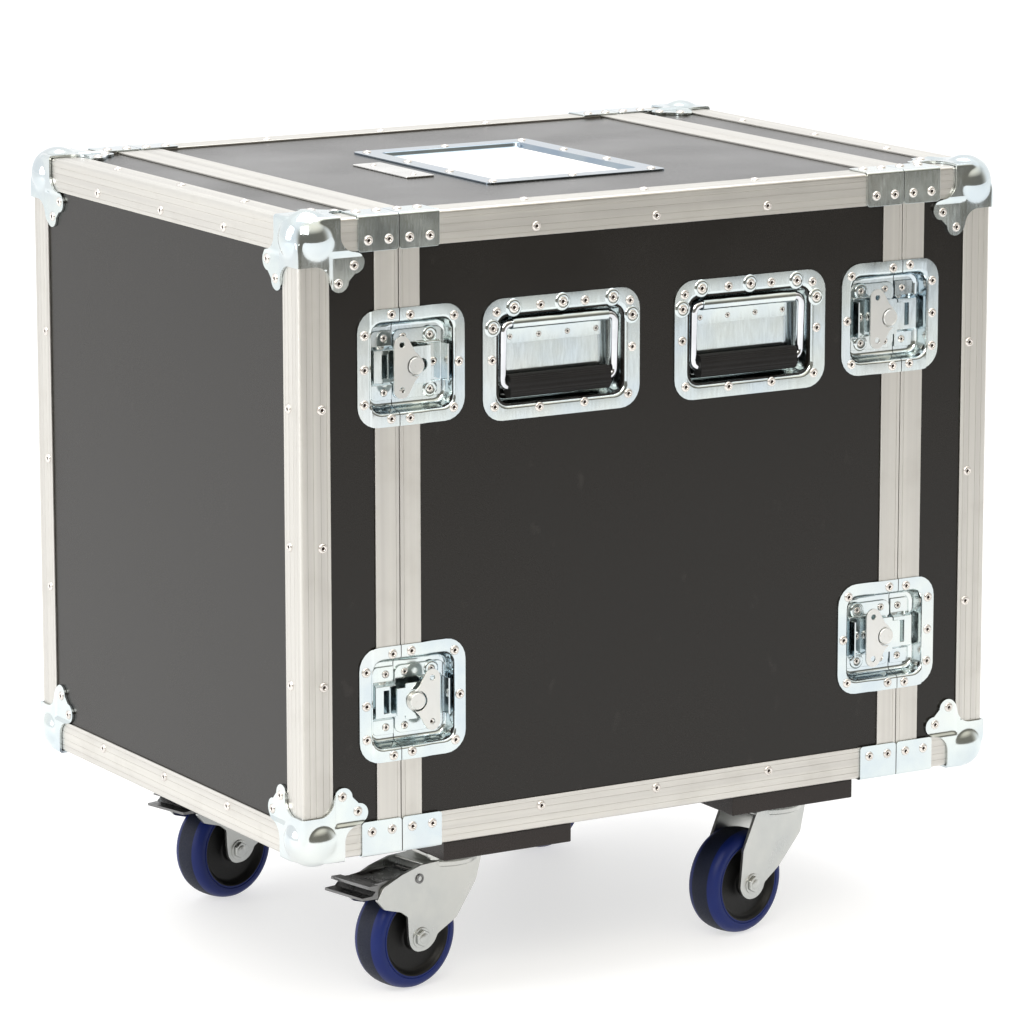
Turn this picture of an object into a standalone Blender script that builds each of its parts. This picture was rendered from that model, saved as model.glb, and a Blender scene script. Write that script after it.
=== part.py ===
"""Double-door flight case on casters: a rack body open at both ends, with a lift-off lid on each end.

Millimetres are written as a number times MM. X runs along the long side, the front is at -Y, and the
floor is at Z = 0 under the middle of the case. The left half is modelled and the right half mirrors it.
On a face, "depth" is measured inwards from the case's outer box, so a negative depth stands proud.
"""

import math

import bmesh
import bpy
from mathutils import Matrix, Vector

MM = 0.001
GRID_DECIMALS = 6

# Case box, over the edge angles
CASE_LENGTH = 735 * MM
CASE_WIDTH = 526 * MM
CASE_HEIGHT = 573.5 * MM
LID_DEPTH = 99.3 * MM
PANEL_THICKNESS = 9 * MM
FIT_GAP = 0.3 * MM
BORE_GAP = 0.8 * MM
SEAM_GAP = 0.8 * MM
WELD_LAP = 0.2 * MM

# Edge angles and closing profiles
ANGLE_LEG = 30 * MM
ANGLE_WALL = 1.5 * MM
ANGLE_RADIUS = 3 * MM
LID_LEG = 24 * MM
BODY_LEG = 20.8 * MM
NOSE_DEPTH = 8 * MM
INNER_LEG = 18 * MM
TONGUE_THICKNESS = 3 * MM
TONGUE_LENGTH = 5 * MM
TONGUE_CLEARANCE = 0.4 * MM
BRACE_WIDTH = 40.5 * MM
BRACE_LEG = 31 * MM
BRACE_SHEET = 1.2 * MM

# Ball corners
BALL_RADIUS = 25 * MM
BALL_INSET = 17.5 * MM
LEAF_PROUD = 2.5 * MM
LEAF_REACH = 40.5 * MM
LEAF_ARCH_RADIUS = 15 * MM
LOBE_NEAR = 39.8 * MM
LOBE_FAR = 55.5 * MM
LOBE_RADIUS = 9.4 * MM
LEAF_STEP = 1.9 * MM

# Recessed butterfly latches
LATCH_HEIGHT = 105 * MM
LATCH_LID_REACH = 41.7 * MM
LATCH_BODY_REACH = 66.8 * MM
LATCH_FROM_EDGE = 135.5 * MM
LATCH_CORNER = 20 * MM
LATCH_RECESS_HEIGHT = 77 * MM
LATCH_RECESS_LID = 26.4 * MM
LATCH_RECESS_BODY = 54 * MM
LATCH_RECESS_DEPTH = 14 * MM
RECESS_CORNER = 9 * MM
DISH_SHEET = 1.2 * MM
SPINDLE_FROM_SEAM = 15.3 * MM
SPINDLE_RADIUS = 5 * MM
BOSS_RADIUS = 9 * MM
BOSS_TOP = -4.9 * MM
WING_TOP = -4.6 * MM
WING_SHEET = 1.8 * MM
WING_WAIST = 12.5 * MM
WING_EYE_SPREAD = 20 * MM
WING_EYE_OFFSET = 14.6 * MM
WING_LOBE_RADIUS = 8 * MM
WING_EYE_RADIUS = 2.6 * MM
HOOK_SHEET = 1.5 * MM
HOOK_TOP = 0.2 * MM
HOOK_HALF_WIDTH = 16.5 * MM
HOOK_NOSE_HALF_WIDTH = 12.7 * MM
HOOK_NOSE_REACH = 3.5 * MM
HOOK_SHOULDER = 5 * MM
HOOK_CORNER = 2.5 * MM
HOOK_STEP = 33 * MM
HOOK_TAIL = 49.5 * MM
HOOK_TAIL_TOP = -1.8 * MM
HOOK_TRAVEL = 8 * MM
BASE_SHEET = 1.8 * MM
BASE_END = 52 * MM
BASE_HALF_HEIGHT = 31 * MM
KEEPER_HALF_HEIGHT = 31 * MM
KEEPER_SLOT_FROM_SEAM = 9 * MM
KEEPER_SLOT_WIDTH = 6 * MM
KEEPER_SLOT_LENGTH = 27 * MM
GUIDE_THICKNESS = 2 * MM
GUIDE_HEIGHT = 2.6 * MM

# Recessed spring handles
HANDLE_WIDTH = 164 * MM
HANDLE_HEIGHT = 110 * MM
HANDLE_FROM_TOP = 138.7 * MM
HANDLE_CORNER = 20 * MM
HANDLE_RECESS_WIDTH = 128 * MM
HANDLE_RECESS_TOP = 37.5 * MM
HANDLE_RECESS_BOTTOM = 39.5 * MM
HANDLE_RECESS_DEPTH = 17 * MM
BAIL_RADIUS = 4 * MM
BAIL_HALF_WIDTH = 58.5 * MM
BAIL_BEND = 6 * MM
BAIL_AXIS_HEIGHT = 31.2 * MM
BAIL_AXIS_DEPTH = 5.7 * MM
BAIL_DROP = 57 * MM
ROLL_WALL = 1.2 * MM
ROLL_HALF_LENGTH = 50 * MM
HINGE_STRIP_HEIGHT = 20 * MM
GRIP_LENGTH = 105 * MM
GRIP_HEIGHT = 21 * MM
GRIP_THICKNESS = 14 * MM
BAIL_LEAN = 2 * MM

# Label dish in the top
LABEL_LENGTH = 255 * MM
LABEL_WIDTH = 192 * MM
LABEL_BORDER = 21 * MM
LABEL_DEPTH = 5 * MM
LABEL_CORNER = 6 * MM
LABEL_CENTRE = (-5 * MM, -7 * MM)

# Rack rails
RAIL_FLANGE = 27 * MM
RAIL_LEG = 32 * MM
RAIL_WALL = 2 * MM
RAIL_FROM_DISH = 3 * MM

# Casters
CASTER_HEIGHT = 133 * MM
CASTER_FROM_END = 188.5 * MM
CASTER_FROM_FACE = 84 * MM
CASTER_TRAIL = 45 * MM
PLATE_X = 85 * MM
PLATE_Y = 105 * MM
PLATE_THICKNESS = 3 * MM
HEAD_RADIUS = 30 * MM
HEAD_HEIGHT = 7 * MM
KINGPIN_RADIUS = 6 * MM
KINGPIN_HEAD_RADIUS = 10 * MM
KINGPIN_HEAD_HEIGHT = 2.4 * MM
CROWN_RADIUS = 33 * MM
CROWN_THICKNESS = 6 * MM
RACE_RADIUS = 26 * MM
RACE_HEIGHT = 4.5 * MM
FORK_WALL = 3 * MM
WHEEL_RADIUS = 50 * MM
WHEEL_WIDTH = 36 * MM
HUB_LENGTH = 40 * MM
TYRE_SHOULDER = 9 * MM
RIM_RADIUS = 34 * MM
RIM_RECESS = 6 * MM
HUB_RADIUS = 13 * MM
AXLE_RADIUS = 6 * MM
AXLE_HEAD_RADIUS = 8.5 * MM
AXLE_HEAD_HEIGHT = 4 * MM
BRAKE_PIN_TRAIL = 47 * MM
BRAKE_PIN_HEIGHT = 106 * MM
BRAKE_PIN_RADIUS = 3 * MM
PEDAL_HALF_WIDTH = 20 * MM
PEDAL_LIP_HALF_WIDTH = 26 * MM
PEDAL_OVER_TYRE = 3.5 * MM
PEDAL_LIP_START = 55 * MM
PEDAL_REACH = 71 * MM
REST_SWIVEL = {
    "front_left": math.radians(11.6),
    "front_right": math.radians(14.6),
    "back_left": math.radians(13.8),
    "back_right": math.radians(13.0),
}

# Caster boards
BOARD_THICKNESS = 18 * MM
BOARD_WIDTH = 134 * MM
BOARD_INSIDE_CASTER = 91 * MM
BOARD_SETBACK = 4 * MM

# Places that follow from the sizes
HALF_X = CASE_LENGTH / 2
HALF_Y = CASE_WIDTH / 2
CASE_BOTTOM = CASTER_HEIGHT + BOARD_THICKNESS + 2 * FIT_GAP
CASE_TOP = CASE_BOTTOM + CASE_HEIGHT
SEAM_X = HALF_X - LID_DEPTH
HALF_SEAM = SEAM_GAP / 2
PANEL_INSET = ANGLE_WALL + FIT_GAP
PANEL_BACK = PANEL_INSET + PANEL_THICKNESS
PANEL_END = SEAM_X - HALF_SEAM - NOSE_DEPTH - FIT_GAP
INNER_LEG_DEPTH = PANEL_BACK + FIT_GAP
SHEET_ON_PANEL = PANEL_INSET - FIT_GAP - DISH_SHEET
LATCH_HEIGHTS = {
    "upper": CASE_TOP - LATCH_FROM_EDGE,
    "lower": CASE_BOTTOM + LATCH_FROM_EDGE,
}
BASE_TOP = LATCH_RECESS_DEPTH - BASE_SHEET
HOOK_FOOT = BASE_TOP - FIT_GAP
COLUMN_END = HOOK_TOP - FIT_GAP
HANDLE_HEIGHT_Z = CASE_TOP - HANDLE_FROM_TOP
HANDLE_X = (SEAM_X - LATCH_BODY_REACH) / 2
CASTER_X = HALF_X - CASTER_FROM_END
CASTER_Y = HALF_Y - CASTER_FROM_FACE
PLATE_BOTTOM = CASTER_HEIGHT - PLATE_THICKNESS
HEAD_BOTTOM = PLATE_BOTTOM - HEAD_HEIGHT
CROWN_TOP = HEAD_BOTTOM - FIT_GAP - RACE_HEIGHT
CROWN_BOTTOM = CROWN_TOP - CROWN_THICKNESS
FORK_INNER = HUB_LENGTH / 2 + FIT_GAP

# Facet counts
CORNER_STEPS = 3
RECESS_STEPS = 2
ROUND_STEPS = 12
WHEEL_STEPS = 20
BALL_SEGMENTS = 12

SIDES = {"left": -1, "right": 1}
FACES = {"front": -1, "back": 1}


# Scene and finishes


def clear_scene():
    for obj in list(bpy.data.objects):
        bpy.data.objects.remove(obj, do_unlink=True)


def new_collection(name):
    made = bpy.data.collections.new(name)
    bpy.context.scene.collection.children.link(made)
    return made


def new_finish(name, colour, roughness, metallic):
    material = bpy.data.materials.new(name)
    material.use_nodes = True
    shader = material.node_tree.nodes["Principled BSDF"]
    shader.inputs["Base Color"].default_value = (*colour, 1.0)
    shader.inputs["Roughness"].default_value = roughness
    shader.inputs["Metallic"].default_value = metallic
    material.diffuse_color = (*colour, 1.0)
    return material


clear_scene()
CASE = new_collection("double_door_flight_case")
BENCH = new_collection("cutters_and_blanks")
BENCH.hide_render = True

FINISHES = {
    "panel": new_finish("phenolic_ply", (0.036, 0.031, 0.029), 0.55, 0.0),
    "profile": new_finish("aluminium_profile", (0.74, 0.73, 0.70), 0.38, 1.0),
    "zinc": new_finish("zinc_plated_steel", (0.70, 0.73, 0.76), 0.28, 1.0),
    "chrome": new_finish("chromed_steel", (0.78, 0.79, 0.81), 0.12, 1.0),
    "tyre": new_finish("blue_rubber_tyre", (0.014, 0.020, 0.085), 0.6, 0.0),
    "pedal": new_finish("stamped_brake_steel", (0.30, 0.30, 0.31), 0.35, 1.0),
}


# Modelling helpers: each returns a blank on the bench, whose mesh is already in place


def blank_from(work, name):
    """A bench object from a bmesh, its points on a one-micron grid, so that planes which meet are one."""
    for vert in work.verts:
        vert.co = [round(value, GRID_DECIMALS) for value in vert.co]
    bmesh.ops.remove_doubles(work, verts=work.verts, dist=0.1 * 10**-GRID_DECIMALS)
    bmesh.ops.recalc_face_normals(work, faces=work.faces)
    mesh = bpy.data.meshes.new(name)
    work.to_mesh(mesh)
    work.free()
    blank = bpy.data.objects.new(name, mesh)
    blank.hide_render = True
    blank.display_type = "WIRE"
    BENCH.objects.link(blank)
    return blank


def settle(blank):
    """Replaces a bench object by the mesh that its curve or modifiers make."""
    bpy.context.view_layer.update()
    graph = bpy.context.evaluated_depsgraph_get()
    mesh = bpy.data.meshes.new_from_object(blank.evaluated_get(graph))
    work = bmesh.new()
    work.from_mesh(mesh)
    bmesh.ops.transform(work, matrix=blank.matrix_world, verts=work.verts)
    name = blank.name
    bpy.data.objects.remove(blank, do_unlink=True)
    return blank_from(work, name)


def block(low, high):
    """A box between two opposite corners."""
    low, high = Vector(low), Vector(high)
    work = bmesh.new()
    bmesh.ops.create_cube(work, size=1.0)
    bmesh.ops.scale(work, vec=high - low, verts=work.verts)
    bmesh.ops.translate(work, vec=(low + high) / 2, verts=work.verts)
    return blank_from(work, "block")


AXIS_FRAMES = {
    "X": Matrix(((0, 0, 1, 0), (1, 0, 0, 0), (0, 1, 0, 0), (0, 0, 0, 1))),
    "Y": Matrix(((1, 0, 0, 0), (0, 0, 1, 0), (0, 1, 0, 0), (0, 0, 0, 1))),
    "Z": Matrix.Identity(4),
}


def plate(outline, axis, start, end, holes=()):
    """A flat outline extruded along an axis. The outline gives the other two coordinates in order."""
    curve = bpy.data.curves.new("plate", "CURVE")
    curve.dimensions = "2D"
    curve.fill_mode = "BOTH"
    curve.extrude = (end - start) / 2
    for points in (outline, *holes):
        spline = curve.splines.new("POLY")
        spline.points.add(len(points) - 1)
        for point, (first, second) in zip(spline.points, points):
            point.co = (first, second, 0, 1)
        spline.use_cyclic_u = True
    blank = bpy.data.objects.new("plate", curve)
    BENCH.objects.link(blank)
    middle = Matrix.Translation((0, 0, (start + end) / 2))
    blank.matrix_world = AXIS_FRAMES[axis] @ middle
    return settle(blank)


def turned(profile, steps, axis="Z", closed=False):
    """A (radius, height) profile turned about an axis with a Screw modifier."""
    mesh = bpy.data.meshes.new("turned")
    edges = [(i, i + 1) for i in range(len(profile) - 1)]
    if closed:
        edges.append((len(profile) - 1, 0))
    mesh.from_pydata([(radius, 0, height) for radius, height in profile], edges, [])
    blank = bpy.data.objects.new("turned", mesh)
    BENCH.objects.link(blank)
    screw = blank.modifiers.new("turn", "SCREW")
    screw.steps = screw.render_steps = steps
    screw.use_merge_vertices = True
    screw.merge_threshold = 0.001 * MM
    blank.matrix_world = AXIS_FRAMES[axis]
    return settle(blank)


def bent_bar(points, radius):
    """A round bar along a closed loop of points."""
    curve = bpy.data.curves.new("bar", "CURVE")
    curve.dimensions = "3D"
    curve.bevel_depth = radius
    curve.bevel_resolution = 2
    curve.use_fill_caps = True
    spline = curve.splines.new("POLY")
    spline.points.add(len(points) - 1)
    for point, place in zip(spline.points, points):
        point.co = (*place, 1)
    spline.use_cyclic_u = True
    blank = bpy.data.objects.new("bar", curve)
    BENCH.objects.link(blank)
    return settle(blank)


def mitred_frame(section):
    """Sweeps a closed section of (x, inset) points round the case's outline, with mitred corners."""
    work = bmesh.new()
    rings = []
    for x, inset in section:
        y = HALF_Y - inset
        low, high = CASE_BOTTOM + inset, CASE_TOP - inset
        corners = ((x, -y, low), (x, y, low), (x, y, high), (x, -y, high))
        rings.append([work.verts.new(corner) for corner in corners])
    for ring, after in zip(rings, rings[1:] + rings[:1]):
        for i in range(4):
            j = (i + 1) % 4
            work.faces.new((ring[i], ring[j], after[j], after[i]))
    return blank_from(work, "mitred_frame")


def copied(blank, matrix):
    """A copy of a blank with its mesh moved, turned or mirrored."""
    work = bmesh.new()
    work.from_mesh(blank.data)
    bmesh.ops.transform(work, matrix=matrix, verts=work.verts)
    return blank_from(work, blank.name)


def mirrored(blank, x=1, y=1):
    return copied(blank, Matrix.Diagonal((x, y, 1, 1)))


def moved(blank, offset):
    return copied(blank, Matrix.Translation(offset))


def together(blanks):
    """One blank from several that don't touch."""
    work = bmesh.new()
    for blank in blanks:
        work.from_mesh(blank.data)
        bpy.data.objects.remove(blank, do_unlink=True)
    return blank_from(work, "group")


def carve(target, tool, operation):
    """Applies one Boolean and throws the tool away. Sheets share many planes, which MANIFOLD handles."""
    boolean = target.modifiers.new("carve", "BOOLEAN")
    boolean.operation = operation
    boolean.solver = "MANIFOLD"
    boolean.object = tool
    result = settle(target)
    bpy.data.objects.remove(tool, do_unlink=True)
    return result


def joined(target, *tools):
    for tool in tools:
        target = carve(target, tool, "UNION")
    return target


def cut(target, *tools):
    for tool in tools:
        target = carve(target, tool, "DIFFERENCE")
    return target


def common(target, tool):
    return carve(target, tool, "INTERSECT")


def finished(blank, name, finish, origin=(0, 0, 0), smooth=False):
    """Moves a blank from the bench into the case as a named piece, with its own origin."""
    origin = Vector(origin)
    mesh = blank.data
    mesh.transform(Matrix.Translation(-origin))
    mesh.name = name
    mesh.materials.clear()
    mesh.materials.append(FINISHES[finish])
    if smooth:
        mesh.shade_smooth()
        mesh.set_sharp_from_angle(angle=math.radians(35))
    BENCH.objects.unlink(blank)
    blank.name = name
    blank.hide_render = False
    blank.display_type = "TEXTURED"
    blank.location = origin
    CASE.objects.link(blank)
    return blank


# Outlines


def arc(centre, radius, start, end, steps=CORNER_STEPS):
    """Points of an arc between two angles in degrees, ends included."""
    turns = [math.radians(start + (end - start) * i / steps) for i in range(steps + 1)]
    return [(centre[0] + radius * math.cos(t), centre[1] + radius * math.sin(t)) for t in turns]


def rounded_rectangle(low, high, radius, steps=CORNER_STEPS):
    (left, bottom), (right, top) = low, high
    return (
        arc((right - radius, top - radius), radius, 0, 90, steps)
        + arc((left + radius, top - radius), radius, 90, 180, steps)
        + arc((left + radius, bottom + radius), radius, 180, 270, steps)
        + arc((right - radius, bottom + radius), radius, 270, 360, steps)
    )


def half_dish_outline(near, far, centre, half_height, radius, steps=CORNER_STEPS):
    """A dish cut off square at its near end and rounded at its far one."""
    way = 1 if far > near else -1
    inner = far - way * radius
    upper = arc((inner, centre + half_height - radius), radius, 90, 0, steps)
    lower = arc((inner, centre - half_height + radius), radius, 0, -90, steps)
    rounded = [(inner + way * (a - inner), b) for a, b in upper + lower]
    return [(near, centre + half_height), *rounded, (near, centre - half_height)]


def angle_section():
    """The edge angle across its length: two legs from a rounded outer corner at (0, 0)."""
    corner = arc((ANGLE_RADIUS, ANGLE_RADIUS), ANGLE_RADIUS, 180, 270)
    return [
        (ANGLE_LEG, 0),
        (ANGLE_LEG, ANGLE_WALL),
        (ANGLE_WALL, ANGLE_WALL),
        (ANGLE_WALL, ANGLE_LEG),
        (0, ANGLE_LEG),
        *corner,
    ]


def closing_section(leg, key):
    """The closing profile from the seam outwards: a channel over the panel's edge, and its key."""
    outer = [(0, 0), (leg, 0), (leg, ANGLE_WALL), (NOSE_DEPTH, ANGLE_WALL)]
    inner = [
        (NOSE_DEPTH, INNER_LEG_DEPTH),
        (INNER_LEG, INNER_LEG_DEPTH),
        (INNER_LEG, INNER_LEG_DEPTH + ANGLE_WALL),
        (0, INNER_LEG_DEPTH + ANGLE_WALL),
    ]
    return outer + inner + key


def key_points(reach, thickness):
    """Tongue for a negative reach, groove for a positive one, in the middle of the profile's nose."""
    middle = (INNER_LEG_DEPTH + ANGLE_WALL) / 2
    low, high = middle - thickness / 2, middle + thickness / 2
    return [(0, high), (reach, high), (reach, low), (0, low)]


# Corner pieces along the case's long edges, made for the front top and mirrored to the rest


def long_edge_plate(section, start, end):
    """An outline of (in from the face, down from the top) points, extruded along the front top edge."""
    outline = [(-HALF_Y + across, CASE_TOP - down) for across, down in section]
    return plate(outline, "X", start, end)


def at_each_long_edge(front_top):
    """Copies of a front top blank at the case's four long edges."""
    middle = CASE_BOTTOM + CASE_HEIGHT / 2
    flip = Matrix.Translation((0, 0, 2 * middle)) @ Matrix.Diagonal((1, 1, -1, 1))
    front_bottom = copied(front_top, flip)
    return [front_top, mirrored(front_top, y=-1), front_bottom, mirrored(front_bottom, y=-1)]


def brace_section(seat):
    """The corner brace across its length, over the angle, down to a given depth in its seat."""
    return [
        (-BRACE_SHEET - FIT_GAP, -BRACE_SHEET - FIT_GAP),
        (BRACE_LEG, -BRACE_SHEET - FIT_GAP),
        (BRACE_LEG, seat),
        (seat, seat),
        (seat, BRACE_LEG),
        (-BRACE_SHEET - FIT_GAP, BRACE_LEG),
    ]


# Recessed latches


def latch_sheet(near, step, far, centre):
    """The dish's flange: on the closing profile up to the step, then cranked down onto the panel."""
    way = 1 if far > near else -1
    top = -DISH_SHEET
    outline = [
        (near, top),
        (step + way * DISH_SHEET, top),
        (step + way * DISH_SHEET, SHEET_ON_PANEL),
        (far, SHEET_ON_PANEL),
        (far, SHEET_ON_PANEL + DISH_SHEET),
        (step, SHEET_ON_PANEL + DISH_SHEET),
        (step, FIT_GAP),
        (near, FIT_GAP),
    ]
    outline = [(across, depth - HALF_Y) for across, depth in outline]
    half = LATCH_HEIGHT / 2
    sheet = plate(outline, "Z", centre - LATCH_HEIGHT, centre + LATCH_HEIGHT)
    shape = half_dish_outline(near - way * LID_LEG, far - way * WELD_LAP, centre, half, LATCH_CORNER)
    return common(sheet, plate(shape, "Y", -HALF_Y - BALL_INSET, -HALF_Y + BALL_INSET))


def latch_pocket(near, far, centre, start, end, grown):
    """The dish's recess as a solid, or as the hollow in it."""
    half = LATCH_RECESS_HEIGHT / 2 + grown
    shape = half_dish_outline(near, far, centre, half, RECESS_CORNER + grown, RECESS_STEPS)
    return plate(shape, "Y", -HALF_Y + start, -HALF_Y + end)


def latch_halves(side):
    """Sheets, pockets and hollows of the four dish halves on the left body or the left lid."""
    way = 1 if side == "body" else -1
    near = -SEAM_X + way * HALF_SEAM
    leg = BODY_LEG if side == "body" else LID_LEG
    reach = LATCH_BODY_REACH if side == "body" else LATCH_LID_REACH
    recess = LATCH_RECESS_BODY if side == "body" else LATCH_RECESS_LID
    step = near + way * (leg + FIT_GAP)
    far = -SEAM_X + way * reach
    wall = -SEAM_X + way * recess
    past_seam = near - way * ANGLE_LEG
    bottom = LATCH_RECESS_DEPTH
    sheets, pockets, hollows = [], [], []
    for centre in LATCH_HEIGHTS.values():
        sheet = latch_sheet(near + way * WELD_LAP / 2, step, far, centre)
        pocket = latch_pocket(
            near + way * WELD_LAP,
            wall + way * DISH_SHEET,
            centre,
            SHEET_ON_PANEL + WELD_LAP,
            bottom + DISH_SHEET,
            DISH_SHEET,
        )
        hollow = latch_pocket(past_seam, wall, centre, -BALL_INSET, bottom, 0)
        for made, blank in ((sheets, sheet), (pockets, pocket), (hollows, hollow)):
            made.extend((blank, mirrored(blank, y=-1)))
    return together(sheets), together(pockets), together(hollows)


def panel_cutter_for_latches(side):
    """Clearance holes for the dish halves of one side of the left seam, through both long faces."""
    way = 1 if side == "body" else -1
    recess = LATCH_RECESS_BODY if side == "body" else LATCH_RECESS_LID
    near = -SEAM_X
    far = near + way * (recess + DISH_SHEET + FIT_GAP)
    half = LATCH_RECESS_HEIGHT / 2 + DISH_SHEET + FIT_GAP
    radius = RECESS_CORNER + DISH_SHEET + FIT_GAP
    holes = []
    for centre in LATCH_HEIGHTS.values():
        shape = half_dish_outline(near, far, centre, half, radius, RECESS_STEPS)
        hole = plate(shape, "Y", -HALF_Y - BALL_INSET, -HALF_Y + PANEL_BACK + BALL_INSET)
        holes.extend((hole, mirrored(hole, y=-1)))
    return together(holes)


def latch_bases():
    """Base plates in the body's dishes, with the spindle's bearing hole and the two guides of the hook."""
    near = -SEAM_X + HALF_SEAM + FIT_GAP
    spindle = -SEAM_X + SPINDLE_FROM_SEAM
    guides = spindle + BOSS_RADIUS
    far = -SEAM_X + BASE_END
    bases = []
    for centre in LATCH_HEIGHTS.values():
        low = (near, -HALF_Y + BASE_TOP, centre - BASE_HALF_HEIGHT)
        high = (far, -HALF_Y + LATCH_RECESS_DEPTH + FIT_GAP, centre + BASE_HALF_HEIGHT)
        base = block(low, high)
        for way in (-1, 1):
            inner = centre + way * (HOOK_HALF_WIDTH + FIT_GAP)
            outer = inner + way * GUIDE_THICKNESS
            guide_low = (guides, -HALF_Y + BASE_TOP - GUIDE_HEIGHT, min(inner, outer))
            guide_high = (far, -HALF_Y + BASE_TOP + FIT_GAP, max(inner, outer))
            base = joined(base, block(guide_low, guide_high))
        ring = arc((spindle, centre), SPINDLE_RADIUS + BORE_GAP, 0, 360, 8)[:-1]
        hole = plate(ring, "Y", -HALF_Y, -HALF_Y + LATCH_RECESS_DEPTH + 2 * FIT_GAP)
        base = cut(base, hole)
        bases.extend((base, mirrored(base, y=-1)))
    return together(bases)


def latch_keepers():
    """Keeper plates in the lid's dishes, each with the slot that the hook comes over."""
    near = -SEAM_X - HALF_SEAM - FIT_GAP
    middle = -SEAM_X - KEEPER_SLOT_FROM_SEAM
    far = middle - KEEPER_SLOT_WIDTH
    slot_near = middle + KEEPER_SLOT_WIDTH / 2
    slot_far = middle - KEEPER_SLOT_WIDTH / 2
    keepers = []
    for centre in LATCH_HEIGHTS.values():
        slot_low = (slot_far, -HALF_Y, centre - KEEPER_SLOT_LENGTH / 2)
        slot_high = (slot_near, -HALF_Y + LATCH_RECESS_DEPTH, centre + KEEPER_SLOT_LENGTH / 2)
        low = (far, -HALF_Y + BASE_TOP, centre - KEEPER_HALF_HEIGHT)
        high = (near, -HALF_Y + LATCH_RECESS_DEPTH + FIT_GAP, centre + KEEPER_HALF_HEIGHT)
        keeper = cut(block(low, high), block(slot_low, slot_high))
        keepers.extend((keeper, mirrored(keeper, y=-1)))
    return together(keepers)


def latch_wing():
    """Butterfly wing with its boss and spindle, made round the Y axis and pointing to -X."""
    lobe = (-WING_EYE_OFFSET, WING_EYE_SPREAD)
    upper = [(0, WING_WAIST), *arc(lobe, WING_LOBE_RADIUS, 30, 180, 4)]
    lower = [(across, -up) for across, up in reversed(upper)]
    eyes = [
        arc((-WING_EYE_OFFSET, way * WING_EYE_SPREAD), WING_EYE_RADIUS, 0, 360, 6)[:-1]
        for way in (-1, 1)
    ]
    sheet = plate(upper + lower, "Y", WING_TOP, WING_TOP + WING_SHEET, holes=eyes)
    tip = LATCH_RECESS_DEPTH - FIT_GAP
    profile = [
        (0, BOSS_TOP),
        (BOSS_RADIUS, BOSS_TOP),
        (BOSS_RADIUS, COLUMN_END),
        (SPINDLE_RADIUS, COLUMN_END),
        (SPINDLE_RADIUS, tip),
        (0, tip),
    ]
    return joined(turned(profile, ROUND_STEPS, "Y"), sheet)


def latch_hook():
    """Draw plate of a latch, pulled in: nose to -X, a step down to the base, a turned-up tail."""
    nose = -SPINDLE_FROM_SEAM - HOOK_NOSE_REACH
    shoulder = HOOK_SHOULDER - SPINDLE_FROM_SEAM
    step = HOOK_STEP - SPINDLE_FROM_SEAM
    tail = HOOK_TAIL - SPINDLE_FROM_SEAM
    strip = plate(
        [
            (nose, HOOK_TOP),
            (step + HOOK_SHEET, HOOK_TOP),
            (step + HOOK_SHEET, HOOK_FOOT - HOOK_SHEET),
            (tail - HOOK_SHEET, HOOK_FOOT - HOOK_SHEET),
            (tail - HOOK_SHEET, HOOK_TAIL_TOP),
            (tail, HOOK_TAIL_TOP),
            (tail, HOOK_FOOT),
            (step, HOOK_FOOT),
            (step, HOOK_TOP + HOOK_SHEET),
            (nose, HOOK_TOP + HOOK_SHEET),
        ],
        "Z",
        -HOOK_HALF_WIDTH,
        HOOK_HALF_WIDTH,
    )
    upper = [
        (2 * tail, 2 * HOOK_HALF_WIDTH),
        (shoulder, 2 * HOOK_HALF_WIDTH),
        (shoulder, HOOK_NOSE_HALF_WIDTH),
        *arc(
            (nose + HOOK_CORNER, HOOK_NOSE_HALF_WIDTH - HOOK_CORNER), HOOK_CORNER, 90, 180, 3
        ),
    ]
    outline = upper + [(across, -up) for across, up in reversed(upper)]
    room = SPINDLE_RADIUS + BORE_GAP
    slot = arc((HOOK_TRAVEL, 0), room, -90, 90, 4) + arc((0, 0), room, 90, 270, 4)
    return common(strip, plate(outline, "Y", 2 * HOOK_TAIL_TOP, 2 * HOOK_FOOT, holes=(slot,)))


# Frames of the body and the lids


def body_closing_frame():
    """Left closing frame of the body: grooved profile, corner braces and the body's dish halves."""
    key = key_points(TONGUE_LENGTH + TONGUE_CLEARANCE, TONGUE_THICKNESS + 2 * TONGUE_CLEARANCE)
    start = -SEAM_X + HALF_SEAM
    frame = mitred_frame([(start + across, down) for across, down in closing_section(BODY_LEG, key)])
    on_profile = long_edge_plate(brace_section(FIT_GAP), start, start + BODY_LEG)
    on_angle = long_edge_plate(brace_section(-FIT_GAP), start, start + BRACE_WIDTH)
    braces = at_each_long_edge(joined(on_profile, on_angle))
    sheets, pockets, hollows = latch_halves("body")
    frame = joined(frame, together(braces), pockets, sheets)
    return joined(cut(frame, hollows), latch_bases())


def leaf_outline():
    """One leaf of a ball corner, in distances from the two edges of its face."""
    out = -LEAF_PROUD
    arch = arc((LEAF_ARCH_RADIUS, LEAF_REACH + LEAF_ARCH_RADIUS), LEAF_ARCH_RADIUS, -90, 0, 2)
    lobe = arc((LOBE_NEAR, LOBE_FAR), LOBE_RADIUS, 180, 0, 4)
    down = [(out, out), (out, LEAF_REACH), *arch, *lobe]
    across = [(b, a) for a, b in reversed(down[1:])]
    return down + across


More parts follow.
